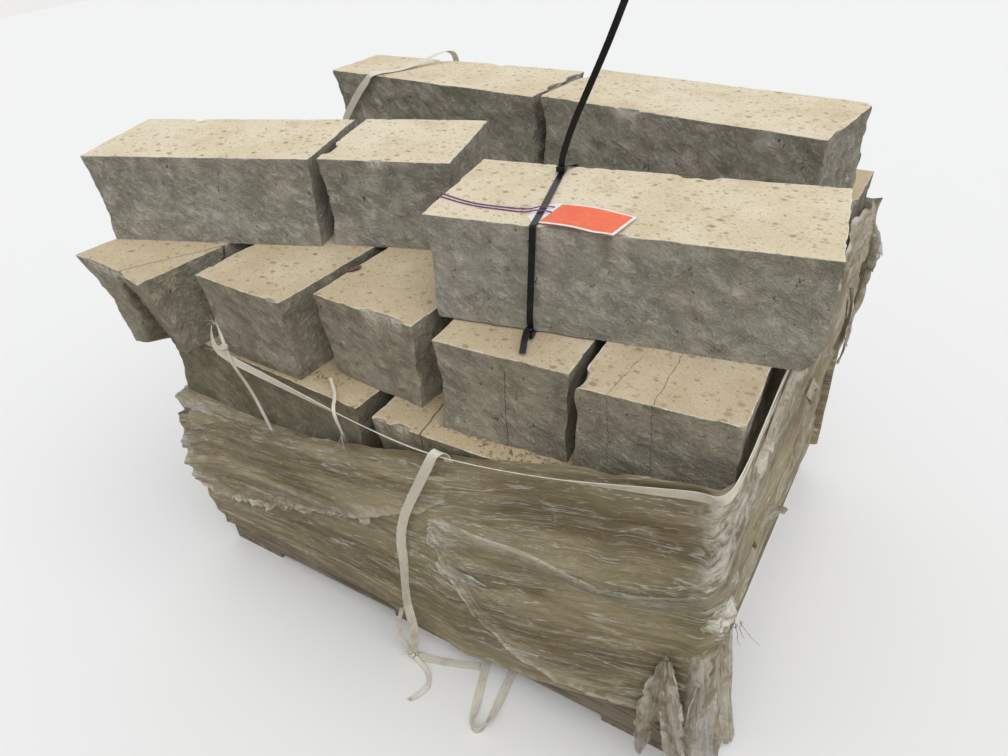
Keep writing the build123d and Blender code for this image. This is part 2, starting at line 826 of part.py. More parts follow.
def string_route(block):
    """A doubled string: from the tag over the tie to the stone's left end, down over the edge
    in a loop, and back beside itself."""
    top = block.top
    lie = string_diameter / 2 + 0.35
    over = tag_thickness + 2 * tie_thickness + 0.5
    stops = (
        (170, 62, top + lie + tag_thickness + 0.3),
        (163, 57, top + over),
        (149, 51, top + over),
        (139, 48.5, top + lie),
        (97, 47.5, top + lie),
        (52, 50.5, top + lie),
        (8, 68, top + lie),
        (-3.2, 71.6, top + lie + 0.9),
        (-3.4, 71.8, top - 14),
        (-3.6, 70.6, top - 28),
        (-3.7, 66.4, top - 33),
        (-3.6, 62.2, top - 28),
        (-3.4, 61.4, top - 14),
        (-3.2, 61.2, top + lie + 0.9),
        (8, 59, top + lie),
        (56, 42, top + lie),
        (106, 39.6, top + lie),
        (139, 38.6, top + lie),
        (149, 40, top + over),
        (164, 43, top + over),
        (172, 45, top + lie + tag_thickness + 0.3),
    )
    aslant = (0.6, 0.5, -0.6)  # no run of the route goes this way
    return [(point, aslant) for point in stone_route(block, stops)]


# Torn film
def torn_strip_pair():
    """A tongue of film torn in two, whose arms hang from the front of the band to the floor."""
    left = film_route(
        [
            (0, 5.11, 1.2, 1.36, (0, -1, 0)),
            (0, 5.07, 2.5, 0.95, (0.1, -1, 0)),
            (0, 5.02, 8, 0.36, (0.2, -1, 0)),
            (0, 4.98, 12, -0.4, (0.3, -1, 0)),
            (0, 4.96, 13, -0.66, (0.3, -1, 0)),
        ]
    )
    right = film_route(
        [
            (0, 5.12, 1.3, 1.3, (0, -1, 0)),
            (0, 5.16, 6, 0.86, (-0.1, -1, 0)),
            (0, 5.23, 17, 0.3, (-0.2, -1, 0.1)),
            (0, 5.3, 25, -0.2, (-0.2, -1, 0.2)),
            (0, 5.35, 31, -0.82, (-0.2, -1, 0.3)),
        ]
    )
    arms = flat_band("left arm", left, (12, 26, 34, 20, 9), strip_thickness)
    return arms + flat_band("right arm", right, (14, 30, 36, 32, 26), strip_thickness)


def corner_curtain():
    """A wide ply of film that hangs from the band's right front corner to the floor."""
    stops = [
        (1, 0.21, 1.3, 1.4, (1, 0, 0)),
        (1, 0.18, 2.0, 0.8, (1, 0, 0)),
        (1, 0.15, 4, 0.2, (1, -0.15, 0)),
        (1, 0.12, 9, -0.4, (1, -0.25, 0.05)),
        (1, 0.1, 15, -0.96, (1, -0.3, 0.1)),
    ]
    return flat_band("curtain", film_route(stops), (30, 44, 58, 64, 60), strip_thickness)


def pale_strip():
    """A narrow strip between the torn tongue and the corner."""
    stops = [
        (0, 5.35, 0.9, 1.1, (0.1, -1, 0)),
        (0, 5.345, 1.3, 0.7, (0.1, -1, 0)),
        (0, 5.335, 1.6, 0.34, (0, -1, 0)),
        (0, 5.32, 2.4, -0.2, (0, -1, 0)),
        (0, 5.31, -5, -0.85, (0, -1, 0)),
    ]
    return flat_band("pale strip", film_route(stops), (7, 18, 22, 16, 8), strip_thickness)


def save(name, solids):
    """Write one node's solids to its file."""
    if len(solids) > 1:
        export_step(Compound(children=[s for part in solids for s in part.solids()]), f"parts/{name}.step")
    else:
        export_step(solids[0], f"parts/{name}.step")


os.makedirs("parts", exist_ok=True)
boards, stringers, bottoms = pallet()
save("deck_boards", boards)
save("stringers", stringers)
save("bottom_boards", bottoms)
for seed, block in enumerate(course_1 + course_2 + course_3 + course_4 + top_stones, 1):
    stone = stone_solid(block, seed)
    if block is cracked_header:
        stone -= open_crack(block)
    save(block.name, [stone])
save("stretch_film", [stretch_film()])
save("film_torn_tongue", [torn_strip_pair()])
save("film_curtain", [corner_curtain()])
save("film_pale_strip", [pale_strip()])
straps = (
    ("strap_front", strap_front_route, strap_width),
    ("strap_knot_tail", strap_knot_tail_route, (3, 6, 9, 9, 9, 9, 9)),
    ("strap_frayed_tail", strap_frayed_tail_route, frayed_width),
    ("strap_hanging", strap_hanging_route, strap_width),
    ("strap_cut_end", strap_cut_end_route, strap_width),
    ("strap_curl", strap_curl_route, frayed_width),
    ("strap_small_loop", strap_small_loop_route, frayed_width),
    ("strap_ground_loop", strap_ground_loop_route, strap_width),
    ("strap_over_stone", over_stone_route(strapped_stone), strap_width),
)
for name, route, widths in straps:
    save(name, [flat_band(name, route, widths, strap_thickness)])
knot_place = (from_left(2.741), from_front(-0.187))
save("strap_floor_knot", [strap_knot(*knot_place, 5.8, (17, 14, 11))])
long_tie, short_tie = tie_parts(tied_stone)
save("cable_tie_long", [long_tie])
save("cable_tie_short", [short_tie])
save("tag", [tag_sheet(tied_stone)])
save("tag_string", [cord_tube("tag_string", string_route(tied_stone), string_diameter)])
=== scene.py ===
import math

import bpy
import numpy as np
from mathutils import Matrix


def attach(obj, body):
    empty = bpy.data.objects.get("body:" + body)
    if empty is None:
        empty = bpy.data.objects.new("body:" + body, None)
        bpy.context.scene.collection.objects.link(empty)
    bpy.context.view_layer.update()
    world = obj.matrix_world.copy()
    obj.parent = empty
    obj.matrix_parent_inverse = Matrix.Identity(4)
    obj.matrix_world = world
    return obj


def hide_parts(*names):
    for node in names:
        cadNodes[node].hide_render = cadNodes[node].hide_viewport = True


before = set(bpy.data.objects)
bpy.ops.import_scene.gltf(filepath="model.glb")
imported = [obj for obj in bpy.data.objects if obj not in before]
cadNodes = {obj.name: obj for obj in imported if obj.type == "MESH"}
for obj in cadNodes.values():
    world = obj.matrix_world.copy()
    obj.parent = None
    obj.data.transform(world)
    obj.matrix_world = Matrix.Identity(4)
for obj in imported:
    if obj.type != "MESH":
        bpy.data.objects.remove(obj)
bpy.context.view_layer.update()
scene = bpy.context.scene
scene.view_settings.view_transform = "Standard"
print("frame loaded,", len(cadNodes), "nodes")


# shader nodes, which go into the tree of the material or world last begun

making = {}


def fill(node, key, value):
    if isinstance(value, bpy.types.NodeSocket):
        making["tree"].links.new(value, node.inputs[key])
    else:
        node.inputs[key].default_value = value


def put(kind, inputs=None, output=0, **settings):
    # one node with its inputs set or linked; gives one of its outputs
    node = making["tree"].nodes.new("ShaderNode" + kind)
    for key, value in settings.items():
        setattr(node, key, value)
    for key, value in (inputs or {}).items():
        fill(node, key, value)
    return node.outputs[output]


def shade(**inputs):
    # fills inputs of the material being made, with _ for a space in their names
    shader = making["tree"].nodes["Principled BSDF"]
    for key, value in inputs.items():
        fill(shader, key.replace("_", " "), value)


def newMaterial(name, **inputs):
    material = bpy.data.materials.new(name)
    material.use_nodes = True
    making["tree"] = material.node_tree
    shade(**inputs)
    return material


def inRadians(angles):
    return [math.radians(a) for a in angles]


def where(scale=(1, 1, 1), turn=(0, 0, 0), **settings):
    # the place on the piece, stretched and turned for a pattern
    inputs = {"Vector": put("TexCoord", output="Object"), "Rotation": inRadians(turn), "Scale": scale}
    return put("Mapping", inputs, **settings)


def noise(place, scale, detail=4.0, roughness=0.55, distortion=0.0):
    inputs = {"Vector": place, "Scale": scale, "Detail": detail, "Roughness": roughness, "Distortion": distortion}
    return put("TexNoise", inputs, "Fac")


def drawnOut(sizes, tilt, *pattern):
    # noise with features of these sizes, tilted about y
    return noise(where(sizes, (0, tilt, 0), vector_type="TEXTURE"), 1, *pattern)


def carried(name):
    # a value that the mesh carries at each point
    return put("Attribute", output="Fac", attribute_name=name)


def curve(factor, low, high, start=0, end=1):
    # from start to end as the factor goes from low to high, held beyond
    inputs = {"Value": factor, "From Min": low, "From Max": high, "To Min": start, "To Max": end}
    return put("MapRange", inputs, interpolation_type="SMOOTHSTEP")


def calc(operation, first, second=0.5):
    return put("Math", {0: first, 1: second}, operation=operation)


def times(first, second):
    return calc("MULTIPLY", first, second)


def plus(first, second):
    return calc("ADD", first, second)


def minus(first, second):
    return calc("SUBTRACT", first, second)


def fromMiddle(value):
    # how far noise is from its middle: near nothing along thin winding lines
    return calc("ABSOLUTE", minus(value, 0.5))


def weighted(first, *others):
    # the sum of values, each times its weight
    total = times(*first)
    for row in others:
        total = plus(total, times(*row))
    return total


def blend(factor, first, second, way="MIX"):
    return put("Mix", {0: factor, 6: first, 7: second}, 2, data_type="RGBA", blend_type=way)


def layers(colour, *rows):
    # lays each row's colour over those before, at most by its share: either as the row's value
    # goes from low to high, or in step with the value where no low and high are given
    for *factor, share, tint in rows:
        mask = curve(*factor, 0, share) if len(factor) == 3 else times(*factor, share)
        colour = blend(mask, colour, tint)
    return colour


def raised(height, distance, strength=1.0, normal=None):
    inputs = {"Height": height, "Distance": distance, "Strength": strength}
    if normal is not None:
        inputs["Normal"] = normal
    return put("Bump", inputs)


def rgb(red, green, blue):
    return (red, green, blue, 1.0)


# camera, light and floor

cameraPlace = {
    "position": (0.6976, -1.0787, 1.2826),
    "forward": (-0.559, 0.829),  # the way it looks, seen from above
    "pitch": 35.6,
    "roll": 4.6,
    "focal": 26.91,
}
light = {
    "skyStrength": 0.68,
    "sky": rgb(0.93, 0.96, 1),
    "sunPower": 1.45,
    "sunSpread": 66,
    "sunTurn": (13, 27, 0),
    "pale": rgb(0.86, 0.85, 0.83),
    "ground": rgb(0.4, 0.34, 0.26),
    "floorHalf": 9.0,
}


def newObject(name, data):
    made = bpy.data.objects.new(name, data)
    scene.collection.objects.link(made)
    return made


def makeCamera(place):
    # forward tips down by the pitch, then right and up turn about it by the roll
    pitch, roll = math.radians(place["pitch"]), math.radians(place["roll"])
    ahead = np.array([*place["forward"], 0.0])
    ahead /= np.linalg.norm(ahead)
    level = np.array([ahead[1], -ahead[0], 0.0])
    fall = np.array([0, 0, -1.0])
    forward = ahead * math.cos(pitch) + fall * math.sin(pitch)
    down = fall * math.cos(pitch) - ahead * math.sin(pitch)
    right = level * math.cos(roll) + down * math.sin(roll)
    down = down * math.cos(roll) - level * math.sin(roll)
    data = bpy.data.cameras.new("camera")
    data.lens = place["focal"]
    data.sensor_width = 36
    data.clip_start = 0.05
    turn = np.eye(4)
    turn[:3, :3] = np.stack([right, -down, -forward], axis=1)
    turn[:3, 3] = place["position"]
    scene.camera = newObject("camera", data)
    scene.camera.matrix_world = Matrix(turn.tolist())


def makeWorld():
    # one light from the sky, and a pale backdrop for what looks straight at it
    world = bpy.data.worlds.new("sky")
    scene.world = world
    world.use_nodes = True
    making["tree"] = world.node_tree
    world.node_tree.nodes.clear()
    ray = put("LightPath").node.outputs
    seen = calc("MAXIMUM", ray["Is Camera Ray"], ray["Is Glossy Ray"])
    seen = calc("MAXIMUM", seen, ray["Is Transmission Ray"])
    sky = put("Background", {"Color": light["sky"], "Strength": light["skyStrength"]})
    backdrop = put("Background", {"Color": light["pale"], "Strength": 1.0})
    both = put("MixShader", {0: seen, 1: sky, 2: backdrop})
    fill(world.node_tree.nodes.new("ShaderNodeOutputWorld"), "Surface", both)


def makeSun():
    data = bpy.data.lights.new("sun", "SUN")
    data.energy = light["sunPower"]
    data.angle = math.radians(light["sunSpread"])
    newObject("sun", data).rotation_euler = inRadians(light["sunTurn"])


def makeFloor():
    half = light["floorHalf"]
    mesh = bpy.data.meshes.new("floor")
    mesh.from_pydata([(-half, -half, 0), (half, -half, 0), (half, half, 0), (-half, half, 0)], [], [(0, 1, 2, 3)])
    mesh.materials.append(newMaterial("floor", Roughness=0.95))
    shade(Base_Color=blend(put("LightPath", output="Is Camera Ray"), light["ground"], light["pale"]))
    newObject("floor", mesh)


makeCamera(cameraPlace)
makeWorld()
makeFloor()
makeSun()
print("camera, light and floor ready")


# noise and meshes

def latticeNoise(points, seed):
    # random values at whole-number points, blended smoothly between them, from -1 to 1
    cell = np.floor(points).astype(np.int64)
    part = points - cell
    part = part * part * (3 - 2 * part)
    total = np.zeros(len(points))
    for corner in range(8):
        step = np.array([corner & 1, corner >> 1 & 1, corner >> 2 & 1])
        key = (cell + step) @ np.array([73856093, 19349663, 83492791]) + seed * 40503
        key = ((key ^ (key >> 13)) * 1274126177) & 0x7FFFFFFF
        value = ((key ^ (key >> 15)) & 0xFFFF) / 32767.5 - 1
        total += value * np.prod(np.where(step == 1, part, 1 - part), axis=1)
    return total


def layeredNoise(points, size, seed, levels=4, keep=0.6):
    # lattice noise at the given size plus finer layers, each half the size and keep times as strong
    points = np.asarray(points, float) / size
    total = np.zeros(len(points))
    strength = 1.0
    for level in range(levels):
        total += strength * latticeNoise(points * 2**level + 17.3 * level, seed + level)
        strength *= keep
    return total


def noiseAt(x, y, z, seed, levels=4, keep=0.6):
    # layered noise at places given by their three values, in the shape of the first
    place = np.stack([np.broadcast_to(value, np.shape(x)).ravel() for value in (x, y, z)], 1)
    return layeredNoise(place, 1.0, seed, levels, keep).reshape(np.shape(x))


def smoothStep(low, high, value):
    share = np.clip((value - low) / (high - low), 0, 1)
    return share * share * (3 - 2 * share)


def unit(vectors):
    return vectors / np.maximum(np.linalg.norm(vectors, axis=-1, keepdims=True), 1e-9)


def runAlong(line):
    # how far along the line each of its points is
    return np.r_[0, np.cumsum(np.linalg.norm(np.diff(line, axis=0), axis=1))]


def turned(x, y, z, cos, sin):
    # the points turned about z
    return np.stack([x * cos - y * sin, x * sin + y * cos, z], -1)


def meshPiece(name, points, faces, material, uv=None, shares=None, smooth=True, crisp=None):
    # one object from arrays of points and faces, riding on the pallet; edges over the crisp angle stay sharp
    mesh = bpy.data.meshes.new(name)
    points = np.ascontiguousarray(points, np.float32).reshape(-1, 3)
    faces = np.ascontiguousarray(faces, np.int32)
    count, sides = faces.shape
    mesh.vertices.add(len(points))
    mesh.vertices.foreach_set("co", points.ravel())
    mesh.loops.add(count * sides)
    mesh.loops.foreach_set("vertex_index", faces.ravel())
    mesh.polygons.add(count)
    mesh.polygons.foreach_set("loop_start", np.arange(0, count * sides, sides, dtype=np.int32))
    mesh.polygons.foreach_set("use_smooth", np.full(count, smooth))
    mesh.update(calc_edges=True)
    mesh.validate()
    if crisp:
        mesh.set_sharp_from_angle(angle=math.radians(crisp))
    if uv is not None:
        layer = mesh.uv_layers.new(name="UVMap")
        layer.data.foreach_set("uv", np.asarray(uv, np.float32).reshape(-1, 2)[faces.ravel()].ravel())
    for key, values in (shares or {}).items():
        attribute = mesh.attributes.new(key, "FLOAT", "POINT")
        attribute.data.foreach_set("value", np.asarray(values, np.float32))
    mesh.materials.append(material)
    piece = newObject(name, mesh)
    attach(piece, "root")
    return piece


def gridFaces(rows, columns, closedRows=False, closedColumns=False):
    # quads between the points of a grid of rows x columns, facing out for an anticlockwise grid
    index = np.arange(rows * columns).reshape(rows, columns)
    if closedRows:
        index = np.vstack([index, index[:1]])
    if closedColumns:
        index = np.hstack([index, index[:, :1]])
    a, b, c, d = index[:-1, :-1], index[:-1, 1:], index[1:, 1:], index[1:, :-1]
    return np.stack([a, b, c, d], axis=-1).reshape(-1, 4)


# stones

stoneColours = {
    "bed": rgb(0.68, 0.57, 0.385),
    "bedDust": rgb(0.77, 0.675, 0.5),
    "bedWarm": rgb(0.55, 0.43, 0.26),
    "bedTan": rgb(0.5, 0.385, 0.235),
    "spot": rgb(0.27, 0.2, 0.11),
    "grain": rgb(0.9, 0.83, 0.67),
    "split": rgb(0.55, 0.512, 0.42),
    "splitDark": rgb(0.335, 0.31, 0.252),
    "splitPale": rgb(0.74, 0.7, 0.6),
    "mauve": rgb(0.5, 0.445, 0.4),
    "olive": rgb(0.4, 0.39, 0.275),
    "fresh": rgb(0.8, 0.74, 0.61),
    "algae": rgb(0.175, 0.18, 0.085),
    "crack": rgb(0.035, 0.028, 0.02),
    "soil": rgb(0.085, 0.062, 0.038),
    "warmVeil": rgb(0.86, 0.78, 0.58),
    "dampVeil": rgb(0.62, 0.59, 0.52),
}
# scale, size, share left out and depth of colour of each kind of spot
bedSpots = ((36, 0.16, 0.3, 0.8), (58, 0.18, 0.3, 0.65), (120, 0.23, 0.45, 0.55), (230, 0.3, 0.5, 0.45))


def bedColour(plain, grain, warmth):
    # dusty clouds, warm patches, sugary grains and dark spots
    tint = stoneColours
    cloud, warm = noise(plain, 7, 6, 0.6), noise(where(turn=(0, 0, 25)), 15, 5, 0.65)
    bed = layers(tint["bed"], (cloud, 0.36, 0.64, 1, tint["bedDust"]), (warm, 0.5, 0.74, 0.6, tint["bedWarm"]))
    if warmth:
        tan = curve(noise(plain, 9, 5, 0.6), 0.25, 0.65, warmth * 0.45, warmth)
        bed = blend(tan, bed, tint["bedTan"])
    bed = layers(bed, (grain, 0.58, 0.7, 0.8, tint["grain"]), (grain, 0.44, 0.3, 0.6, tint["bedWarm"]))
    wobble = noise(plain, 130, 4, 0.7)
    shift = put("CombineXYZ", {0: times(wobble, 0.01), 1: times(wobble, -0.008)})
    bent = put("VectorMath", {0: where((0.88, 1.1, 1), (0, 0, 12)), 1: shift}, operation="ADD")
    for scale, size, share, depth in bedSpots:
        cell = put("TexVoronoi", {"Vector": bent, "Scale": scale}, voronoi_dimensions="2D").node.outputs
        dice = put("SeparateColor", {0: cell["Color"]}).node.outputs
        mask = curve(minus(times(curve(dice[0], share, 1), size), cell["Distance"]), -0.08, 0.07)
        bed = blend(times(mask, curve(dice[1], 0, 1, depth * 0.45, depth)), bed, tint["spot"])
    return bed


def crackShare(cracks, plain):
    # thin lines where wavering upright planes cut the stone, as the share of darkness
    total = None
    for point, turn, width, reach, wander, topmost in cracks:
        across = (math.cos(math.radians(turn)), math.sin(math.radians(turn)), 0)
        shift = put("VectorMath", {0: plain, 1: (*point, 0)}, operation="SUBTRACT")
        distance = put("VectorMath", {0: shift, 1: across}, "Value", operation="DOT_PRODUCT")
        waver = times(minus(noise(plain, 22, 6, 0.72), 0.5), wander)
        line = curve(calc("ABSOLUTE", plus(distance, waver)), width, width * 0.35)
        level = put("VectorMath", {0: shift, 1: (1, 1, 0)}, operation="MULTIPLY")
        length = put("VectorMath", {0: level}, "Value", operation="LENGTH")
        line = times(line, curve(length, reach, reach * 0.8))
        if topmost:
            line = times(line, curve(put("SeparateXYZ", {0: plain}, "Z"), topmost, topmost - 0.02))
        total = line if total is None else calc("MAXIMUM", total, line)
    return total


def stoneMaterial(name, cracks=(), algae=0.0, warmth=0.0):
    # a pale sawn bed with dark spots above, and rough grey split faces on the sides
    material = newMaterial(name, Roughness=0.92)
    tint = stoneColours
    plain = where()
    grain = noise(plain, 380, 3, 0.7)
    bed = bedColour(plain, grain, warmth)

    # the split faces: mottled grey with mauve and olive patches, curved pale scars and small dark nicks
    patch, hue = noise(plain, 16, 6, 0.7, 0.4), noise(plain, 8, 4, 0.55)
    lump, fine = noise(plain, 62, 5, 0.72, 0.3), noise(plain, 420, 3, 0.75)
    facet = drawnOut((0.03, 0.024, 0.019), 28, 6, 0.74, 0.7)
    fibre = drawnOut((0.0155, 0.011, 0.0075), 34, 5, 0.72, 0.6)
    scar = curve(fromMiddle(drawnOut((0.022, 0.016, 0.014), 40, 4, 0.55, 1.6)), 0.02, 0)
    scar = times(scar, curve(patch, 0.45, 0.6))
    nick = curve(drawnOut((0.01, 0.007, 0.018), 18, 3, 0.6), 0.66, 0.72)
    nick = times(nick, curve(lump, 0.55, 0.45))
    split = layers(
        tint["splitDark"],
        (patch, 0.36, 0.64, 1, tint["split"]),
        (hue, 0.52, 0.66, 0.5, tint["mauve"]),
        (hue, 0.48, 0.34, 0.5, tint["olive"]),
        (facet, 0.52, 0.66, 0.75, tint["splitPale"]),
        (facet, 0.47, 0.34, 0.75, tint["splitDark"]),
        (fibre, 0.53, 0.68, 0.6, tint["splitPale"]),
        (scar, 0.55, tint["fresh"]),
        (fine, 0.55, 0.68, 0.7, tint["splitPale"]),
        (fine, 0.45, 0.32, 0.5, tint["splitDark"]),
        (nick, 0.75, tint["crack"]),
    )
    if warmth:
        split = blend(warmth * 0.45, split, tint["warmVeil"], "MULTIPLY")
    if algae:
        split = blend(0.75, split, tint["dampVeil"], "MULTIPLY")
        low = curve(put("SeparateXYZ", {0: plain}, "Z"), 0.56, 0.44)
        green = times(curve(noise(plain, 9, 5, 0.6), 0.4, 0.65), low)
        split = layers(split, (green, algae, tint["algae"]))

    # the bed ends at a crisp arris with small pale chips along it
    under, inset, chipped, soil = (carried(key) for key in ("under", "inset", "chipped", "soil"))
    isBed = times(curve(under, 0.0011, 0.0005), curve(plus(chipped, times(lump, 0.5)), 0.75, 0.55))
    edge = plus(plus(under, inset), times(noise(plain, 75, 5, 0.7), 0.011))
    colour = layers(
        blend(isBed, split, bed),
        (edge, 0.0072, 0.0055, 0.85, tint["fresh"]),
        (chipped, curve(fibre, 0.4, 0.6, 0.2, 0.8), tint["fresh"]),
        (soil, curve(lump, 0.3, 0.5, 0.5, 1), tint["soil"]),
    )

    height = weighted((fibre, 0.45), (fine, 0.16), (facet, 1.7), (lump, 0.7))
    splitBump = raised(minus(height, times(nick, 0.6)), 0.0125)
    bedBump = raised(plus(noise(plain, 150, 4, 0.7), times(grain, 0.8)), 0.0011, 0.8)
    relief = put("Mix", {0: isBed, 4: splitBump, 5: bedBump}, 1, data_type="VECTOR")
    if cracks:
        line = crackShare(cracks, plain)
        colour = layers(colour, (line, 0.7, tint["crack"]))
        relief = raised(minus(1.0, line), 0.003, 0.8, relief)
    shade(Base_Color=colour, Normal=relief)
    return material


stoneShape = {
    "seenCell": 0.0062,
    "hiddenCell": 0.013,
    "belly": 0.0025,  # how far a split face dishes at mid height
    "relief": 0.0046,
    "reliefSize": 0.075,
    "ridge": 0.003,
    "nibble": 0.0022,  # how far the arris wanders in
    "chip": 0.011,  # depth of a chip out of the arris
    "tapered": 0.536,  # how far out to the sides the hidden stones reach
    "backTapered": 0.549,  # and all stones at the back right
    "crispAngle": 40,
}
coarseFaces = {"top_stone_back_left": 2.1, "course_4_header_1": 1.2, "top_stone_back_right": 1.3}
# point, turn, width, reach, waver and highest level (0 for none) of each crack
crackedStones = {
    "course_4_header_1": [((-0.44, -0.39), -33, 0.0013, 0.19, 0.016, 0)],
    "course_4_header_4": [((0.236, -0.398), 4, 0.001, 0.17, 0.02, 0.722)],
    "course_4_header_5": [
        ((0.452, -0.405), 3, 0.0005, 0.12, 0.018, 0),
        ((0.395, -0.41), -4, 0.0004, 0.1, 0.014, 0),
    ],
    "course_3_front_right": [((0.108, -0.434), 8, 0.0015, 0.13, 0.014, 0)],
    "top_stone_back_right": [((0.203, 0.17), 10, 0.001, 0.13, 0.014, 0.8)],
}
gapingStone = "course_4_header_1"
stoneLevels = (0, 0.1, 0.34, 0.72, 1)


def pointsOf(mesh):
    points = np.zeros(len(mesh.vertices) * 3)
    mesh.vertices.foreach_get("co", points)
    return points.reshape(-1, 3)


def stoneCorners(node):
    # the four outermost points of the CAD stone at each level, as [level, left/right, front/back]
    points = pointsOf(node.data)
    low, high = points[:, 2].min(), points[:, 2].max()
    heights, corners = [], []
    for level in stoneLevels:
        height = low + (high - low) * level
        ring = points[np.abs(points[:, 2] - height) < 0.0008]
        if len(ring) >= 4:
            heights.append(height)
            corners.append([[ring[np.argmax(ring @ np.array([x, y, 0]))] for y in (-1, 1)] for x in (-1, 1)])
    return np.array(heights), np.array(corners)


def boxLattice(counts):
    # whole-number points on the six faces of a block of cells, and the quads between them
    shape = np.array(counts) + 1
    index = np.full(shape, -1)
    place = np.indices(shape)
    shell = np.zeros(shape, bool)
    for axis in range(3):
        shell |= (place[axis] == 0) | (place[axis] == counts[axis])
    index[shell] = np.arange(shell.sum())
    faces = []
    for axis in range(3):
        for side in (0, counts[axis]):
            sheet = np.take(index, side, axis=axis)
            quads = sheet.ravel()[gridFaces(*sheet.shape)]
            inward = (side == 0) == (axis != 1)
            faces.append(quads[:, ::-1] if inward else quads)
    return np.argwhere(shell), np.vstack(faces)


def gape(name, points, share, width, edgeY):
    # the first header's crack gapes from a hairline at the top to a wedge at the foot, with soil in it
    point, turn = crackedStones[name][0][:2]
    up = share[:, 2]
    ahead = np.array([math.cos(math.radians(turn)), math.sin(math.radians(turn)), 0])
    aside = (points - np.array([*point, 0])) @ ahead
    aside = aside + 0.01 * layeredNoise(points * np.array([0.2, 0.2, 1]), 0.035, 77, 3) + 0.014 * (up - 0.9)
    opened = 0.002 + 0.019 * (1 - up) ** 1.2
    atFront = np.exp(-share[:, 1] * width / 0.022)
    inside = np.exp(-((aside / opened) ** 4))
    deep = inside * (0.004 + 0.075 * (1 - up)) * atFront * smoothStep(0.99, 0.9, up)
    soil = np.exp(-((aside / (opened + 0.006)) ** 2)) * atFront * smoothStep(0.99, 0.75, up)
    return points + np.outer(deep, edgeY), soil


def stonePiece(name, seed, seen):
    # a block through its corners, with split relief on four sides and chips along both arrises
    heights, corners = stoneCorners(cadNodes[name])
    shape = stoneShape
    if name.startswith(("course_1", "course_2")):
        corners[..., 0] = np.clip(corners[..., 0], -shape["tapered"], shape["tapered"])
    atBack = corners[..., 1] > 0
    corners[..., 0] = np.where(atBack, np.minimum(corners[..., 0], shape["backTapered"]), corners[..., 0])
    cell = shape["seenCell"] if seen else shape["hiddenCell"]
    edgeX, edgeY = corners[-1, 1, 0] - corners[-1, 0, 0], corners[-1, 0, 1] - corners[-1, 0, 0]
    length, width = np.linalg.norm(edgeX), np.linalg.norm(edgeY)
    edgeX, edgeY = unit(edgeX), unit(edgeY)
    rise = heights[-1] - heights[0]
    counts = [max(6, round(size / cell)) for size in (length, width, rise)]
    lattice, faces = boxLattice(counts)
    share = lattice / np.array(counts)
    level = share[:, 2] * rise + heights[0]
    flatCorners = corners.reshape(len(heights), -1).T
    ring = np.stack([np.interp(level, heights, values) for values in flatCorners], axis=1).reshape(-1, 2, 2, 3)
    along, across = share[:, :1], share[:, 1:2]
    front = ring[:, 0, 0] * (1 - along) + ring[:, 1, 0] * along
    back = ring[:, 0, 1] * (1 - along) + ring[:, 1, 1] * along
    points = front * (1 - across) + back * across
    points[:, 2] = level
    coarse = coarseFaces.get(name, 1.0)
    belly = np.sin(np.pi * share[:, 2])
    fromTop, fromFoot = heights[-1] - level, level - heights[0]
    bevel = np.exp(-fromTop / 0.012)
    drop = np.zeros(len(points))
    inset = np.full(len(points), 1.0)
    moved = np.zeros_like(points)
    sides = (
        (edgeX, share[:, 0] * length),
        (-edgeX, (1 - share[:, 0]) * length),
        (edgeY, share[:, 1] * width),
        (-edgeY, (1 - share[:, 1]) * width),
    )
    for number, (inward, depth) in enumerate(sides):
        # each side moves in by its dish, its relief and its chips, dying out away from the side
        own = seed * 31 + number * 7
        flat = points - np.outer((points @ inward), inward)
        rough = layeredNoise(flat * np.array([1, 1, 1.35]), shape["reliefSize"], own, 5, 0.56)
        ridge = 1 - np.abs(layeredNoise(flat + np.outer(level, edgeX + edgeY) * 0.6, 0.042, own + 3))
        amount = shape["belly"] * belly + shape["relief"] * coarse * (0.55 + 0.5 * rough) * (0.35 + 0.65 * belly)
        amount += shape["ridge"] * coarse * ridge * (0.3 + 0.7 * belly)
        line = flat * np.array([1, 1, 0])
        nibble = np.clip(layeredNoise(line, 0.03, own + 5), 0, 1)
        amount += shape["nibble"] * coarse * nibble * np.exp(-np.minimum(fromTop, fromFoot) / 0.012)
        chip = smoothStep(0.55, 0.95, layeredNoise(line, 0.07, own + 9, 3)) * coarse
        amount += shape["chip"] * chip * bevel * 0.6
        moved += np.outer(amount * np.exp(-depth / 0.008), inward)
        drop += shape["chip"] * 0.5 * chip * np.exp(-depth / 0.005) * np.exp(-fromTop / 0.02)
        inset = np.minimum(inset, depth)
    points += moved
    points[:, 2] -= drop
    soil = np.zeros(len(points))
    if name == gapingStone:
        points, soil = gape(name, points, share, width, edgeY)
    finish = stoneFinish.get(name, stoneFinish["warm" if name.startswith("course") else "plain"])
    shares = {"under": fromTop, "inset": inset, "chipped": np.clip(drop / 0.0035, 0, 1), "soil": soil}
    piece = meshPiece(name + "_stone", points, faces, finish, shares=shares, crisp=shape["crispAngle"])
    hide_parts(name)


stoneFinish = {"plain": stoneMaterial("limestone"), "warm": stoneMaterial("limestone_warm", warmth=0.8)}
for name, cracks in crackedStones.items():
    low = name.startswith("course_3")
    warmth = 1.0 if low else 0.8 if name.startswith("course") else 0.0
    stoneFinish[name] = stoneMaterial("limestone_" + name, cracks, 0.8 if low else 0.0, warmth)
stoneFinish["course_3_front_left"] = stoneMaterial("limestone_damp", (), 0.9, 1.0)
stoneNames = sorted(n for n in cadNodes if n.startswith(("course_", "top_stone")))
for seed, name in enumerate(stoneNames, 1):
    stonePiece(name, seed, name.startswith(("course_4", "top_stone", "course_3_front")))
print("stones ready,", len(stoneNames))


# pallet

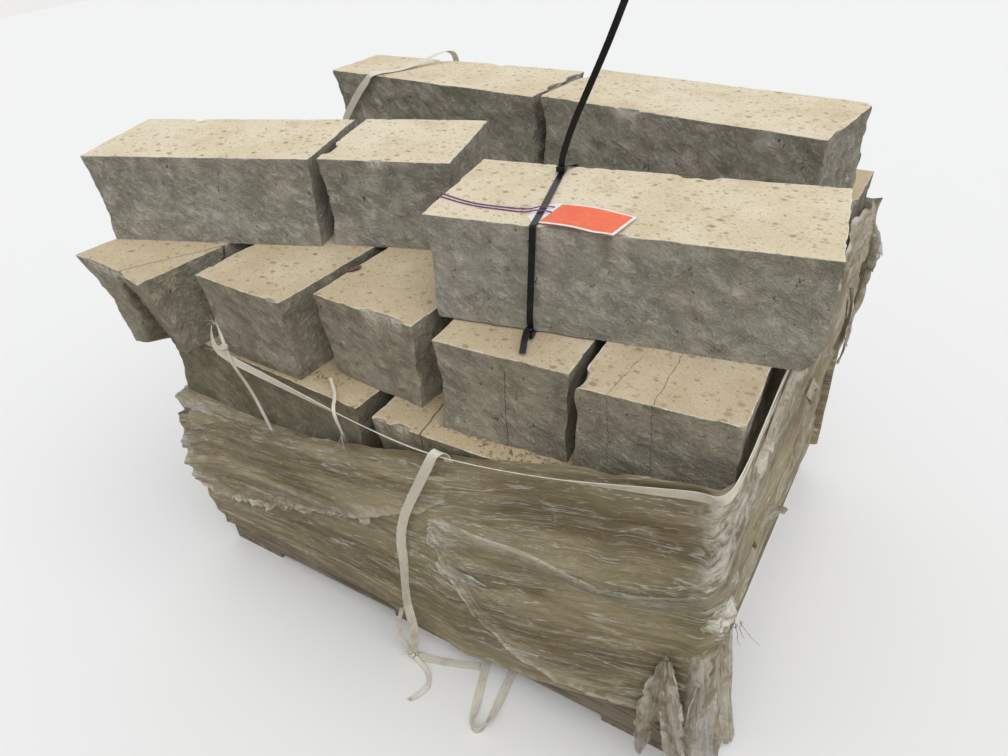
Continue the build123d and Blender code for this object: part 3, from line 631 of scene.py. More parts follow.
def woodMaterial(name, stretch):
    # weathered boards: grain drawn out along the board, grey with brown showing through
    material = newMaterial(name, Roughness=0.85)
    ring = noise(where(stretch), 3.2, 7, 0.65, 0.8)
    fine = noise(where([4 * s for s in stretch]), 6, 5, 0.7)
    dirt = noise(where(), 8, 5, 0.6)
    colour = layers(
        rgb(0.115, 0.085, 0.058),
        (ring, 0.35, 0.66, 1, rgb(0.29, 0.245, 0.19)),
        (fine, 0.55, 0.75, 0.6, rgb(0.4, 0.36, 0.3)),
        (dirt, 0.5, 0.7, 0.7, rgb(0.33, 0.27, 0.19)),
    )
    shade(Base_Color=colour, Normal=raised(plus(ring, times(fine, 0.5)), 0.0015, 0.8))
    return material


def giveMaterial(nodeName, material):
    mesh = cadNodes[nodeName].data
    mesh.materials.clear()
    mesh.materials.append(material)


giveMaterial("deck_boards", woodMaterial("deck_wood", (14, 0.9, 14)))
giveMaterial("bottom_boards", woodMaterial("bottom_wood", (14, 0.9, 14)))
giveMaterial("stringers", woodMaterial("stringer_wood", (0.9, 14, 14)))
print("pallet ready")


# stretch film

deckTop, courseHeight = 0.121, 0.152
filmEdges = {
    # heights of the upper edge in courses above the deck and of the lower edge as shares of the
    # deck's height, evenly spaced along the front, right, back and left
    "top": (
        (1.62, 2.07, 2.16, 2.36, 2.61, 2.86, 3.14, 3.37, 3.55),
        (3.55, 3.74, 3.89, 3.95, 4.2, 4.15, 3.9, 3.65),
        (3.65, 3.55, 3.35, 3.2, 3.05, 2.89),
        (2.89, 2.72, 2.5, 2.2, 1.86, 1.62),
    ),
    "low": (
        (0.4, 0.5, 0.73, 0.71, 0.6, 0.3, 0.51, 0.97, 1.4),
        (1.4, 1.1, 0.8, 0.7, 0.63, 0.66),
        (0.66, 0.51, 0.63, 0.58, 0.7, 0.74),
        (0.74, 0.79, 0.66, 0.6, 0.52, 0.4),
    ),
}
filmShape = {
    "columnStep": 0.008,
    "rows": 104,
    "wrinkle": 0.0022,
    "crease": 0.0024,
    "fine": 0.0009,
    "tuck": 0.014,  # how far the foot draws in under the lowest stones
    "taper": 0.028,  # how far the lower right side draws in
    "room": 1.15,  # width of a flat cut against what its area needs
    "leastWidth": 0.0101,
    "ground": 0.0012,  # how low a loose strip or yarn may lie
    "plyOut": 0.004,  # how far a further ply stands off the band
}


def filmLoop():
    # the outermost plan point of the CAD film in each direction, evenly spaced round the load
    plan = pointsOf(cadNodes["stretch_film"].data)[:, :2]
    angles = np.radians(np.arange(225, 225 + 360, 0.5))
    rim = plan[np.argmax(np.stack([np.cos(angles), np.sin(angles)], 1) @ plan.T, axis=1)]
    rim = rim[np.r_[True, np.linalg.norm(np.diff(rim, axis=0), axis=1) > 1e-6]]
    rim = np.vstack([rim, rim[:1]])
    run = runAlong(rim)
    stops = np.linspace(0, run[-1], 2400)
    line = np.stack([np.interp(stops, run, rim[:, 0]), np.interp(stops, run, rim[:, 1])], 1)
    ahead = unit(np.roll(line[:-1], -6, axis=0) - np.roll(line[:-1], 6, axis=0))
    ahead = np.vstack([ahead, ahead[:1]])
    return stops, line, np.stack([ahead[:, 1], -ahead[:, 0]], 1)


loopStops, loopLine, loopOut = filmLoop()
loopLength = loopStops[-1]
cornerPlaces = [(-1, -1), (1, -1), (1, 1), (-1, 1)]
cornerStops = [loopStops[np.argmax(loopLine[:-1] @ np.array(c))] for c in cornerPlaces]
cornerStops[0] = 0.0
cornerStops.append(loopLength)
frontCorner, backCorner = cornerStops[1:3]


def onRight(stops, start, full, fullEnd, end):
    # 1 on the right side: rises and falls at these distances from the front and the back corner
    rise = smoothStep(frontCorner + start, frontCorner + full, stops)
    return rise * smoothStep(backCorner + end, backCorner + fullEnd, stops)


def onFilm(stop, height, out):
    # the point this far round the load and this high, standing out from the film's outer face
    stop = np.mod(stop, loopLength)
    out = out - filmShape["taper"] * onRight(stop, 0.08, 0.25, 0.04, 0.12) * smoothStep(0.46, 0.34, height)
    place, away = ([np.interp(stop, loopStops, values) for values in each.T] for each in (loopLine, loopOut))
    plan = [a + b * out for a, b in zip(place, away)]
    return np.stack([*plan, np.broadcast_to(height, np.shape(stop))], axis=-1)


def stopsAt(side, values):
    # how far round the load places are: by x on the front, side 0, and by y on the right, side 1
    here = (loopStops >= cornerStops[side]) & (loopStops <= cornerStops[side + 1])
    return np.interp(values, loopLine[here, side], loopStops[here])


def edgeHeights(sides, stops):
    # the edge's heights by place round the load, rounded off between the listed ones
    places, values = [], []
    for number, heights in enumerate(sides):
        places += list(np.linspace(cornerStops[number], cornerStops[number + 1], len(heights)))[:-1]
        values += heights[:-1]
    places.append(loopLength)
    values.append(sides[0][0])
    shifts = np.linspace(-0.035, 0.035, 9)
    return np.mean([np.interp(np.mod(stops + s, loopLength), places, values) for s in shifts], axis=0)


def filmTop(stops):
    return deckTop + courseHeight * edgeHeights(filmEdges["top"], stops)


def filmLow(stops):
    return deckTop * edgeHeights(filmEdges["low"], stops)


def filmMaterial(name, clear, pale=0.0):
    # dusty film: streaks drawn out along the wrap, painted paler as sheen highlights and darker as shade between the
    # folds, painted highlights along the creases, grime, a little see-through
    material = newMaterial(name, Roughness=0.3)
    uv = put("UVMap", uv_map="UVMap")

    def drawn(scale, turn, *pattern):
        inputs = {"Vector": uv, "Scale": (*scale, 1), "Rotation": inRadians((0, 0, turn))}
        return noise(put("Mapping", inputs), 1, *pattern)

    broad = drawn((2.2, 9), 0, 6, 0.6, 0.6)
    streak = drawn((6, 46), 1.5, 6, 0.68, 0.9)
    thin = drawn((16, 300), -2.5, 4, 0.68, 0.5)
    crumple = drawn((30, 38), 0, 6, 0.68, 1.2)
    # crease lines: they shape the bump, and the film is painted white along them as a painted highlight
    crease = curve(fromMiddle(drawn((2.6, 24), 5, 5, 0.58, 0.5)), 0.016, 0)
    fineCreaseHighlight = curve(fromMiddle(drawn((7, 44), -7, 6, 0.62, 0.9)), 0.012, 0)
    fineCreaseHighlight = times(fineCreaseHighlight, curve(crumple, 0.42, 0.6))
    # the milky share whitens the film where it is torn or crumpled; on the over-ply's crest it also carries a painted
    # highlight
    torn = times(carried("milky"), curve(crumple, 0.34, 0.6))
    colour = layers(
        rgb(0.205, 0.157, 0.082),
        (broad, 0.34, 0.66, 1, rgb(0.365, 0.305, 0.182)),
        # dust streaks, painted paler as a sheen highlight on the folds and darker as shade in the gaps between them
        (streak, 0.52, 0.68, 0.6, rgb(0.5, 0.44, 0.315)),
        (streak, 0.46, 0.3, 0.6, rgb(0.115, 0.088, 0.048)),
        (thin, 0.57, 0.7, 0.7, rgb(0.68, 0.65, 0.56)),
        (thin, 0.42, 0.3, 0.5, rgb(0.14, 0.115, 0.07)),
        (crumple, 0.58, 0.72, 0.4, rgb(0.47, 0.44, 0.36)),
        (noise(where(), 5.5, 6, 0.6), 0.5, 0.7, 0.55, rgb(0.19, 0.18, 0.085)),
        # painted highlight: white along the creases and the fine creases
        (calc("MAXIMUM", crease, fineCreaseHighlight), 0.6, rgb(0.8, 0.78, 0.71)),
    )
    colour = blend(torn, colour, rgb(0.74, 0.71, 0.63))
    stain = curve(noise(where(), 38, 5, 0.65), 0.4, 0.6)
    colour = layers(colour, (carried("stain"), stain, rgb(0.17, 0.105, 0.05)))
    if pale:
        colour = layers(colour, (curve(crumple, 0.3, 0.62), pale, rgb(0.6, 0.565, 0.47)))
    height = weighted((streak, 0.55), (thin, 0.22), (crumple, 0.8), (crease, 0.25))
    solid = curve(plus(broad, times(streak, 0.5)), 0.55, 0.85, 1 - 2.2 * clear)
    shade(Base_Color=colour, Normal=raised(height, 0.0046, 0.9), Alpha=calc("MAXIMUM", solid, torn))
    return material


filmFinish = {
    "band": filmMaterial("film_band", 0.08),
    "ply": filmMaterial("film_ply", 0.12),
    "torn": filmMaterial("film_torn", 0.16, 0.6),
    "veil": filmMaterial("film_veil", 0.38, 0.45),
}


def wrinkles(around, up, seed):
    # long folds along the wrap, sharper creases among them and fine ripples
    shape = filmShape
    folds = noiseAt(around * 3.1, up * 30, seed, seed, 4, 0.55)
    crease = 1 - np.abs(noiseAt(around * 2.2 + up * 1.5, up * 17, seed + 4.5, seed + 11, 3, 0.5)) * 2.2
    ripple = noiseAt(around * 12, up * 150, seed + 2.5, seed + 21, 2, 0.5)
    return shape["wrinkle"] * folds + shape["crease"] * np.clip(crease, -0.3, 1) + shape["fine"] * ripple


def bandReach(stop, height):
    # how far the band stands out here: its folds and hems, less the tuck at its foot
    low, top = filmLow(stop), filmTop(stop)
    up = np.clip((height - low) / (top - low), 0, 1.05)
    # the last stretch blends towards the first, so that the loop closes
    closing = smoothStep(loopLength - 0.35, loopLength, stop)
    fold = wrinkles(stop, up * 0.5, 3) * (1 - closing) + wrinkles(stop - loopLength, up * 0.5, 3) * closing
    elsewhere = 1 - onRight(stop, 0, 0.1, 0, 0.05)
    tuck = filmShape["tuck"] * smoothStep(deckTop + 0.02, deckTop - 0.07, height) * elsewhere
    hem = 0.003 * np.exp(-((1 - up) / 0.018) ** 2) + 0.002 * np.exp(-(up / 0.02) ** 2)
    return fold - tuck + hem - 0.0015


def filmPiece(
        name, points, faces, finish, around, up, milky, stain, node=None):
    # a piece of film from a grid, carrying its milky share, which on the over-ply holds a painted
    # highlight too, and its stain; the areas of its faces are read but not used
    count = np.size(points) // 3
    uv = np.stack([np.ravel(around), np.ravel(up)], 1)
    shares = {"milky": np.ravel(milky), "stain": np.zeros(count) + np.ravel(stain)}
    piece = meshPiece(name, points, faces, filmFinish[finish], uv=uv, shares=shares)
    if node:
        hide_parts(node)
    areas = np.zeros(len(piece.data.polygons))
    piece.data.polygons.foreach_get("area", areas)


def filmBand():
    columns, rows = round(loopLength / filmShape["columnStep"]), filmShape["rows"]
    stops = np.linspace(0, loopLength, columns, endpoint=False)
    top = filmTop(stops) + 0.0035 * noiseAt(stops * 28, 0, 0, 5)
    low = filmLow(stops) + 0.004 * noiseAt(stops * 22, 9, 0, 6)
    stop, up = np.meshgrid(stops, np.linspace(0, 1, rows))
    height, around = (low + (top - low) * up).ravel(), stop.ravel()
    points = onFilm(around, height, bandReach(around, height))
    right = onRight(around, -0.03, 0.05, -0.1, 0)
    milky = 0.55 * right * smoothStep(0.3, 0.7, layeredNoise(points, 0.1, 41) + 0.3)
    nearCorner = smoothStep(frontCorner - 0.035, frontCorner + 0.01, around)
    nearCorner *= smoothStep(frontCorner + 0.36, frontCorner + 0.12, around)
    milky = np.clip(milky + 0.9 * nearCorner * smoothStep(0.33, 0.43, height), 0, 1)
    stain = 0.7 * right * smoothStep(0.25, 0.7, layeredNoise(points + 3, 0.07, 43) + 0.15)
    faces = gridFaces(rows, columns, closedColumns=True)
    filmPiece(
        "film_band", points, faces, "band", around, up * 0.5, milky, stain,
        "stretch_film")


def plyPatch(name, seed, places, tops, lows, columns, rows, crest, milky, curl, shifted):
    # a further ply over part of the band: it follows the band's folds, merges with it along its
    # upper border, which may stand up as a crest, and rolls out along its torn borders
    stops = np.linspace(places[0], places[-1], columns)
    top, low = np.interp(stops, places, tops), np.interp(stops, places, lows)
    low = np.minimum(low + 0.005 * noiseAt(stops * 34, seed, 0, seed), top - 0.004)
    stop, up = np.meshgrid(stops, np.linspace(0, 1, rows))
    height = low + (top - low) * up
    around, level = stop.ravel(), height.ravel()
    fromLow, fromTop, fromLeft = (height - low).ravel(), (top - height).ravel(), around - stops[0]
    own = 0.55 * wrinkles(around, up.ravel() * 0.42 + seed, seed + 50)
    border = np.clip(np.exp(-fromLow / 0.01) + np.exp(-fromLeft / 0.012), 0, 1.3)
    puff = 0.008 * np.exp(-fromLeft / 0.07) * (0.5 + noiseAt(fromLeft * 26, level * 55, 0, seed + 7))
    merge = smoothStep(0, 0.03, fromTop) * smoothStep(0, 0.07, stops[-1] - around)
    ridge = np.exp(-((fromTop - 0.003) / 0.0045) ** 2)
    reach = bandReach(around, level) + 0.0012 * smoothStep(0, 0.02, stops[-1] - around)
    reach = reach - 0.0026 * np.exp(-fromTop / 0.005)
    reach = reach + (filmShape["plyOut"] + own + curl * border + np.clip(puff, 0, 1)) * merge + crest * ridge
    glow = milky * (np.exp(-fromLow / 0.015) + np.exp(-fromLeft / 0.04))
    # painted highlight: a pale line painted along the crest, through the milky share
    glow = glow + (0.6 * np.exp(-fromTop / 0.012) if crest else 0)
    # the drawing runs on from the band's, shifted where the ply lies loose
    share = (level - filmLow(around)) / (filmTop(around) - filmLow(around))
    filmPiece(
        name, onFilm(around, level, reach), gridFaces(rows, columns), "ply", around, share * 0.5 + shifted * merge,
        np.clip(glow, 0, 1), 0)


def overPly():
    # the outer ply on the right half of the front: a crease on top with a painted highlight along it, a torn left
    # edge, round the corner
    places = stopsAt(0, [0.1, 0.115, 0.128, 0.16, 0.19, 0.225, 0.27, 0.331, 0.393, 0.449, 0.5, 0.545])
    places = np.r_[places, frontCorner + 0.04, frontCorner + 0.2, frontCorner + 0.36]
    tops = [0.4, 0.408, 0.411, 0.41, 0.409, 0.411, 0.414, 0.406, 0.398, 0.41, 0.436, 0.466, 0.5, 0.56, 0.6]
    lows = [0.385, 0.33, 0.29, 0.245, 0.19, 0.155, 0.14, 0.122, 0.136, 0.15, 0.166, 0.186, 0.2, 0.22, 0.3]
    plyPatch("film_over_ply", 7, places, tops, lows, 130, 72, 0.0016, 0.5, 0.004, -0.05)


def leftPly():
    # the ply over the upper left of the front, whose lower edge is torn ragged
    places = stopsAt(0, [-0.545, -0.5, -0.467, -0.4, -0.324, -0.24, -0.14, 0.0, 0.14])
    tops = [0.34, 0.4, 0.415, 0.418, 0.43, 0.447, 0.468, 0.505, 0.53]
    lows = [0.205, 0.19, 0.191, 0.215, 0.235, 0.268, 0.302, 0.368, 0.45]
    plyPatch("film_left_ply", 4, places, tops, lows, 116, 48, 0.0, 0.35, 0.006, 0.0)


filmBand()
print("film band ready")
overPly()
leftPly()
print("film plies ready")


# flat bands and cords

def splineCurve(name, points, resolution):
    data = bpy.data.curves.new(name, "CURVE")
    data.dimensions = "3D"
    data.resolution_u = resolution
    spline = data.splines.new("NURBS")
    spline.points.add(len(points) - 1)
    spline.points.foreach_set("co", np.hstack([np.array(points), np.ones((len(points), 1))]).ravel())
    spline.order_u = 3
    spline.use_endpoint_u = True
    return data


def splineLine(points, resolution=10):
    # the line of a smooth spline through the route, as points read from the curve
    data = splineCurve("route", points, resolution)
    holder = newObject("route", data)
    mesh = bpy.data.meshes.new_from_object(holder)
    line = pointsOf(mesh)
    bpy.data.objects.remove(holder)
    bpy.data.curves.remove(data)
    bpy.data.meshes.remove(mesh)
    return line


def alongRoute(values, points, line):
    # a value per route point, or one for all, spread over the line where each point pulls most
    last = len(points) - 1
    values = values if isinstance(values, list) else [values] * len(points)
    values = np.array(values, float).reshape(len(points), -1)
    pull = np.r_[0, np.arange(last - 1) + 0.5, last - 1]
    place = np.linspace(0, last - 1, len(line))
    return np.stack([np.interp(place, pull, column) for column in values.T], 1)


def routeFrame(points, looks, line):
    # the ways across the line and out of its face at each point
    ahead = unit(np.gradient(line, axis=0))
    across = unit(np.cross(ahead, unit(alongRoute(looks, points, line))))
    return across, unit(np.cross(across, ahead))


def ribbonPiece(name, points, looks, width, material):
    # a flat band carried along the route's spline: its section is a row of round cords side by side
    line = splineLine(points)
    across, face = routeFrame(points, looks, line)
    widths = alongRoute(width, points, line)
    wide = max(width) if isinstance(width, list) else width
    cords = 12 if wide > 0.01 else 6
    steps = np.linspace(-1, 1, cords * 3 + 1)
    scallop = 0.78 + 0.22 * np.abs(np.cos(np.pi * cords * (steps + 1) / 2))
    upper = np.stack([steps * 0.5, scallop * 0.5], 1)
    lower = np.stack([steps[::-1] * 0.5, -scallop[::-1] * 0.5], 1)
    section = np.vstack([upper, lower])
    flat = section[None, :, 1:] * strapThickness
    ring = line[:, None] + across[:, None] * (section[None, :, :1] * widths[:, None]) + face[:, None] * flat
    run = runAlong(line)
    uv = np.stack(np.meshgrid(section[:, 0] * wide, run), axis=-1)
    sides = len(section)
    faces = gridFaces(len(line), sides, closedColumns=True)
    strip = np.arange(sides // 2 - 1)
    caps = np.stack([strip, strip + 1, sides - 2 - strip, sides - 1 - strip], 1)
    faces = np.vstack([faces, caps, caps[:, ::-1] + (len(line) - 1) * sides])
    return meshPiece(name, ring, faces, material, uv=uv), line, run[-1], wide


def strapMaterial(name):
    # cream yarns side by side, dusty, with brown marks
    material = newMaterial(name, Roughness=0.72, Sheen_Weight=0.15)
    uv = put("UVMap", uv_map="UVMap")
    wave = {"Vector": uv, "Scale": 215.0, "Distortion": 1.2, "Detail": 2.0}
    yarn = put("TexWave", wave, "Fac", wave_type="BANDS", bands_direction="X")
    thread = noise(put("Mapping", {"Vector": uv, "Scale": (900, 60, 1)}), 1, 4, 0.6)
    colour = layers(
        rgb(0.72, 0.67, 0.53),
        (thread, 0.35, 0.65, 1, rgb(0.9, 0.87, 0.77)),
        (yarn, 0.35, 0.05, 0.4, rgb(0.45, 0.39, 0.28)),
        (noise(where(), 20, 5, 0.6), 0.52, 0.72, 0.35, rgb(0.33, 0.25, 0.15)),
    )
    shade(Base_Color=colour, Normal=raised(plus(yarn, times(thread, 0.6)), 0.0004, 0.8))
    return material


def strands(name, roots, directions, lengths, material, seed, thickness, droop):
    # loose yarns: three-sided tubes that leave their roots, wave and droop
    directions = unit(directions)
    count, steps = len(roots), 9
    rng = np.random.default_rng(seed)
    share = np.linspace(0, 1, steps)
    bend = rng.normal(0, 0.35, (count, 3))
    line = roots[:, None] + directions[:, None] * (lengths[:, None] * share)[..., None]
    line = line + bend[:, None] * (lengths[:, None] * share**2)[..., None]
    line[..., 2] -= droop * lengths[:, None] * share**2
    wave = rng.uniform(0, 6.28, (count, 1))
    line[..., 0] += 0.03 * lengths[:, None] * np.sin(share * 9 + wave)
    line[..., 2] = np.maximum(line[..., 2], filmShape["ground"])
    angles = np.radians([0, 120, 240])[:, None]
    ahead = unit(np.gradient(line, axis=1))
    side = unit(np.cross(ahead, np.array([0.3, 0.5, 0.8])))
    other = np.cross(ahead, side)
    radius = thickness * 0.5 * (1 - 0.5 * share)[None, :, None, None]
    ring = line[:, :, None] + radius * (side[:, :, None] * np.cos(angles) + other[:, :, None] * np.sin(angles))
    faces = gridFaces(steps, 3, closedColumns=True)
    faces = (faces[None] + (np.arange(count) * steps * 3)[:, None, None]).reshape(-1, 4)
    meshPiece(name, ring, faces, material, uv=np.zeros((count * steps * 3, 2)))


def filmStrip(
        name, points, looks, widths, seed, finish, ruffle, ragged=0.2, columns=15, milky=1.0, stain=0.0,
        resolution=12, node=None):
    # a loose strip of film along a route: folded lengthwise, rippling, with torn sides
    line = splineLine(points, resolution)
    count = len(line)
    across, face = routeFrame(points, looks, line)
    width = alongRoute(widths, points, line)
    run = runAlong(line)
    side = np.linspace(-1, 1, columns)
    left, right = (1 + ragged * noiseAt(run * 70, k, 0, seed + k)[:, None] for k in (0, 1))
    half = np.where(side[None] < 0, left, right) * width * 0.5
    stop, aside = np.meshgrid(run, side, indexing="ij")
    fold = noiseAt(stop * 12, aside * 3.2, seed * 1.7, seed + 5, 4, 0.55)
    offset = ruffle * fold * (0.35 + 0.65 * np.abs(side))[None]
    ring = line[:, None] + across[:, None] * (side[None] * half)[..., None] + face[:, None] * offset[..., None]
    ring[..., 2] = np.maximum(ring[..., 2], filmShape["ground"])
    glow = np.clip(milky * (0.4 + 0.6 * np.abs(side))[None] * np.ones((count, 1)), 0, 1)
    faces = gridFaces(count, columns)
    filmPiece(name, ring, faces, finish, stop + seed, aside * 0.03 + seed * 0.3, glow, stain, node=node)


def frill(name, seed, stops, heights, drop, out, ruffle, milky, columns, rows, rise=0.0, stain=0.3):
    # a torn edge: a narrow sheet hanging from a line round the load, rippling in and out
    share = np.linspace(0, 1, columns)
    around = np.interp(share, np.linspace(0, 1, len(stops)), stops)
    level = np.interp(share, np.linspace(0, 1, len(heights)), heights)
    stop, fall = np.meshgrid(around, np.linspace(0, 1, rows))
    ripple = noiseAt(stop * 42, fall * 1.3, seed, seed, 3)
    shift = noiseAt(stop * 42 + 7, fall * 1.3 + 7, seed + 7, seed + 3, 2)
    torn = 0.75 + 0.55 * noiseAt(around * 60, 0, 0, seed + 5, 4, 0.65)[None]
    reach = out + ruffle * fall * (0.9 + ripple)
    height = (level - drop * np.clip(torn, 0.1, 2) * fall + rise * fall * ripple).ravel()
    around = (stop + ruffle * 0.7 * fall * shift).ravel()
    points = onFilm(around, height, bandReach(around, height) + np.maximum(reach, 0.001).ravel())
    glow = np.clip(milky * (0.25 + 0.75 * fall), 0, 1)
    faces = gridFaces(rows, columns)[:, ::-1]
    up = fall * 0.02 + seed * 0.3
    filmPiece(name, points, faces, "torn", stop + seed, up, glow, glow * stain)


def cornerCrumple():
    # loose film crumpled white just past the right front corner
    rows, columns = 56, 52
    middle = frontCorner + 0.036
    stop, up = np.meshgrid(np.linspace(middle - 0.06, middle + 0.055, columns), np.linspace(0, 1, rows))
    height = 0.345 + 0.135 * up + 0.012 * np.sin(stop * 60)
    near = np.exp(-((stop - middle) / 0.04) ** 2)
    body = np.sin(np.pi * up) ** 0.7
    crush = noiseAt(stop * 42, height * 62, 0, 61, 5, 0.62)
    reach = -0.004 + 0.017 * near * body + 0.011 * near * crush * body
    around, level = stop.ravel(), height.ravel()
    points = onFilm(around, level, bandReach(around, level) + reach.ravel())
    glow = np.clip(near * body * 1.1, 0, 0.9)
    faces = gridFaces(rows, columns)
    up = up * 0.27 + 5.1
    filmPiece("film_corner_crumple", points, faces, "ply", around, up, glow, glow * 0.1)


def cornerCurtain():
    # the ply that hangs from the corner to the floor in upright pleats and flares out at its foot
    rows, columns = 80, 84
    stops = np.linspace(frontCorner - 0.014, frontCorner + 0.112, columns)
    stop, down = np.meshgrid(stops, np.linspace(0, 1, rows))
    hem = 0.012 + 0.075 * np.clip(noiseAt(stops * 90, 0, 0, 71, 4, 0.65) + 0.1, 0, 1.2)
    height = 0.375 + (hem[None] - 0.375) * down
    pleat = noiseAt(stop * 75, height * 4, 0, 73, 3, 0.55)
    reach = 0.003 + 0.03 * down**1.6 + 0.01 * pleat * (0.2 + down)
    points = onFilm(stop.ravel(), height.ravel(), np.maximum(reach, 0.002).ravel())
    glow = np.clip(0.35 + 0.45 * pleat, 0, 0.85)
    faces = gridFaces(rows, columns)[:, ::-1]
    around, up = height + 2.2, stop + 1.1
    filmPiece("film_curtain_ply", points, faces, "veil", around, up, glow, glow * 0.15, node="film_curtain")


def tornFilm():
    # the loose pieces of film, from the left of the front round to the right side
    outward = (0, -1, 0)
    frill(
        "film_left_frill", 81, stopsAt(0, [-0.535, -0.5, -0.467, -0.4, -0.324, -0.24, -0.14, -0.02]),
        [0.21, 0.2, 0.201, 0.224, 0.245, 0.278, 0.312, 0.36], 0.013, 0.0055, 0.009, 0.5, 240, 9)
    filmStrip(
        "film_left_lip",
        [(-0.533, -0.412, 0.427), (-0.5, -0.414, 0.429), (-0.4, -0.414, 0.433), (-0.3, -0.413, 0.44),
         (-0.2, -0.414, 0.453), (-0.1, -0.416, 0.472)],
        (0, -0.25, 1), [0.03, 0.05, 0.054, 0.048, 0.04, 0.03], 93, "ply", 0.003, 0.1, 13, 0.25)
    filmStrip(
        "film_tongue_left",
        [(0.5114, -0.4487, 0.3277), (0.5031, -0.4522, 0.2654), (0.4927, -0.456, 0.1757),
         (0.4844, -0.4542, 0.0726), (0.4802, -0.4513, 0.0411)],
        [outward, (0.1, -1, 0), (0.2, -1, 0), (0.5, -1, 0), (0.3, -1, 0)],
        [0.01, 0.026, 0.036, 0.02, 0.006], 91, "torn", 0.006, 0.22, stain=0.5, node="film_torn_tongue")
    filmStrip(
        "film_tongue_right",
        [(0.5135, -0.4488, 0.3186), (0.5218, -0.4532, 0.2517), (0.5364, -0.4609, 0.1666),
         (0.551, -0.4736, 0.0968), (0.5614, -0.4766, 0.0218)],
        [outward, (-0.1, -1, 0), (-0.2, -1, 0.1), (-0.5, -1, 0.2), (-0.2, -1, 0.3)],
        [0.012, 0.03, 0.036, 0.032, 0.022], 95, "torn", 0.007, stain=0.3)
    filmStrip(
        "film_tongue_web",
        [(0.5125, -0.4505, 0.32), (0.513, -0.454, 0.26), (0.515, -0.457, 0.205), (0.518, -0.456, 0.17)],
        outward, [0.012, 0.026, 0.036, 0.02], 97, "torn", 0.004, 0.2, 13, 0.2, 1.0)
    filmStrip(
        "film_pale_ribbon",
        [(0.5614, -0.4465, 0.2882), (0.5603, -0.4489, 0.2274), (0.5582, -0.4502, 0.1727),
         (0.5551, -0.45, 0.0968), (0.553, -0.4406, 0.0182)],
        [(0.1, -1, 0), (0.4, -1, 0), outward, (-0.3, -1, 0), outward],
        [0.008, 0.018, 0.022, 0.016, 0.008], 99, "torn", 0.004, 0.2, 11, node="film_pale_strip")
    filmStrip(
        "film_pocket_fold",
        [(0.112, -0.446, 0.314), (0.128, -0.449, 0.306), (0.16, -0.45, 0.297), (0.205, -0.447, 0.293)],
        [(0, -1, 0.4), (0, -1, 0.3), (0, -1, 0.2), (0, -1, 0.2)],
        [0.02, 0.036, 0.03, 0.01], 98, "torn", 0.007, 0.25)
    cornerCrumple()
    cornerCurtain()
    frill(
        "film_side_frill", 103, stopsAt(1, [-0.36, -0.3, -0.2, -0.08, 0.04]), [0.645, 0.665, 0.69, 0.7, 0.735],
        0.022, 0.003, 0.007, 0.7, 120, 9, 0.005)
    frill(
        "film_side_tuft", 105, stopsAt(1, [-0.235, -0.2, -0.17, -0.14]), [0.412, 0.42, 0.412, 0.4],
        0.04, 0.004, 0.017, 0.6, 44, 10, 0.012, 0.9)
    frill(
        "film_rear_tuft", 115, stopsAt(1, [-0.06, -0.03, 0.0]), [0.55, 0.56, 0.545],
        0.028, 0.003, 0.012, 0.7, 28, 8, 0.008, 0.8)
    filmStrip(
        "film_back_flap",
        [(0.574, 0.00, 0.725), (0.588, 0.035, 0.785), (0.6, 0.08, 0.79), (0.603, 0.125, 0.735),
         (0.601, 0.14, 0.66), (0.594, 0.115, 0.595), (0.584, 0.085, 0.55)],
        [(1, 0, 0), (1, -0.2, 0.2), (1, 0, 0.4), (1, 0.3, 0), (1, 0.2, 0), (1, 0, 0), (1, 0, 0)],
        [0.04, 0.06, 0.062, 0.056, 0.042, 0.03, 0.01], 107, "veil", 0.009, 0.35, 21, 0.7, 0.25, 16)
    filmStrip(
        "film_back_shred",
        [(0.586, 0.1, 0.66), (0.597, 0.075, 0.62), (0.6, 0.07, 0.57), (0.592, 0.085, 0.525)],
        [(1, 0, 0), (1, 0.3, 0), (1, 0.5, 0), (1, 0, 0)],
        [0.022, 0.016, 0.01, 0.004], 109, "torn", 0.005, 0.35, 11, 0.6, 0.5, 14)
    filmStrip(
        "film_back_string",
        [(0.586, 0.088, 0.645), (0.59, 0.08, 0.605), (0.595, 0.084, 0.575), (0.6, 0.1, 0.552)],
        [(1, 0, 0), (1, 0.5, 0), (1, 0.5, 0), (1, 0, 0)],
        [0.007, 0.006, 0.005, 0.003], 111, "torn", 0.002, 0.3, 5, 0.0, 1.0, 14)


tornFilm()
print("torn film ready")

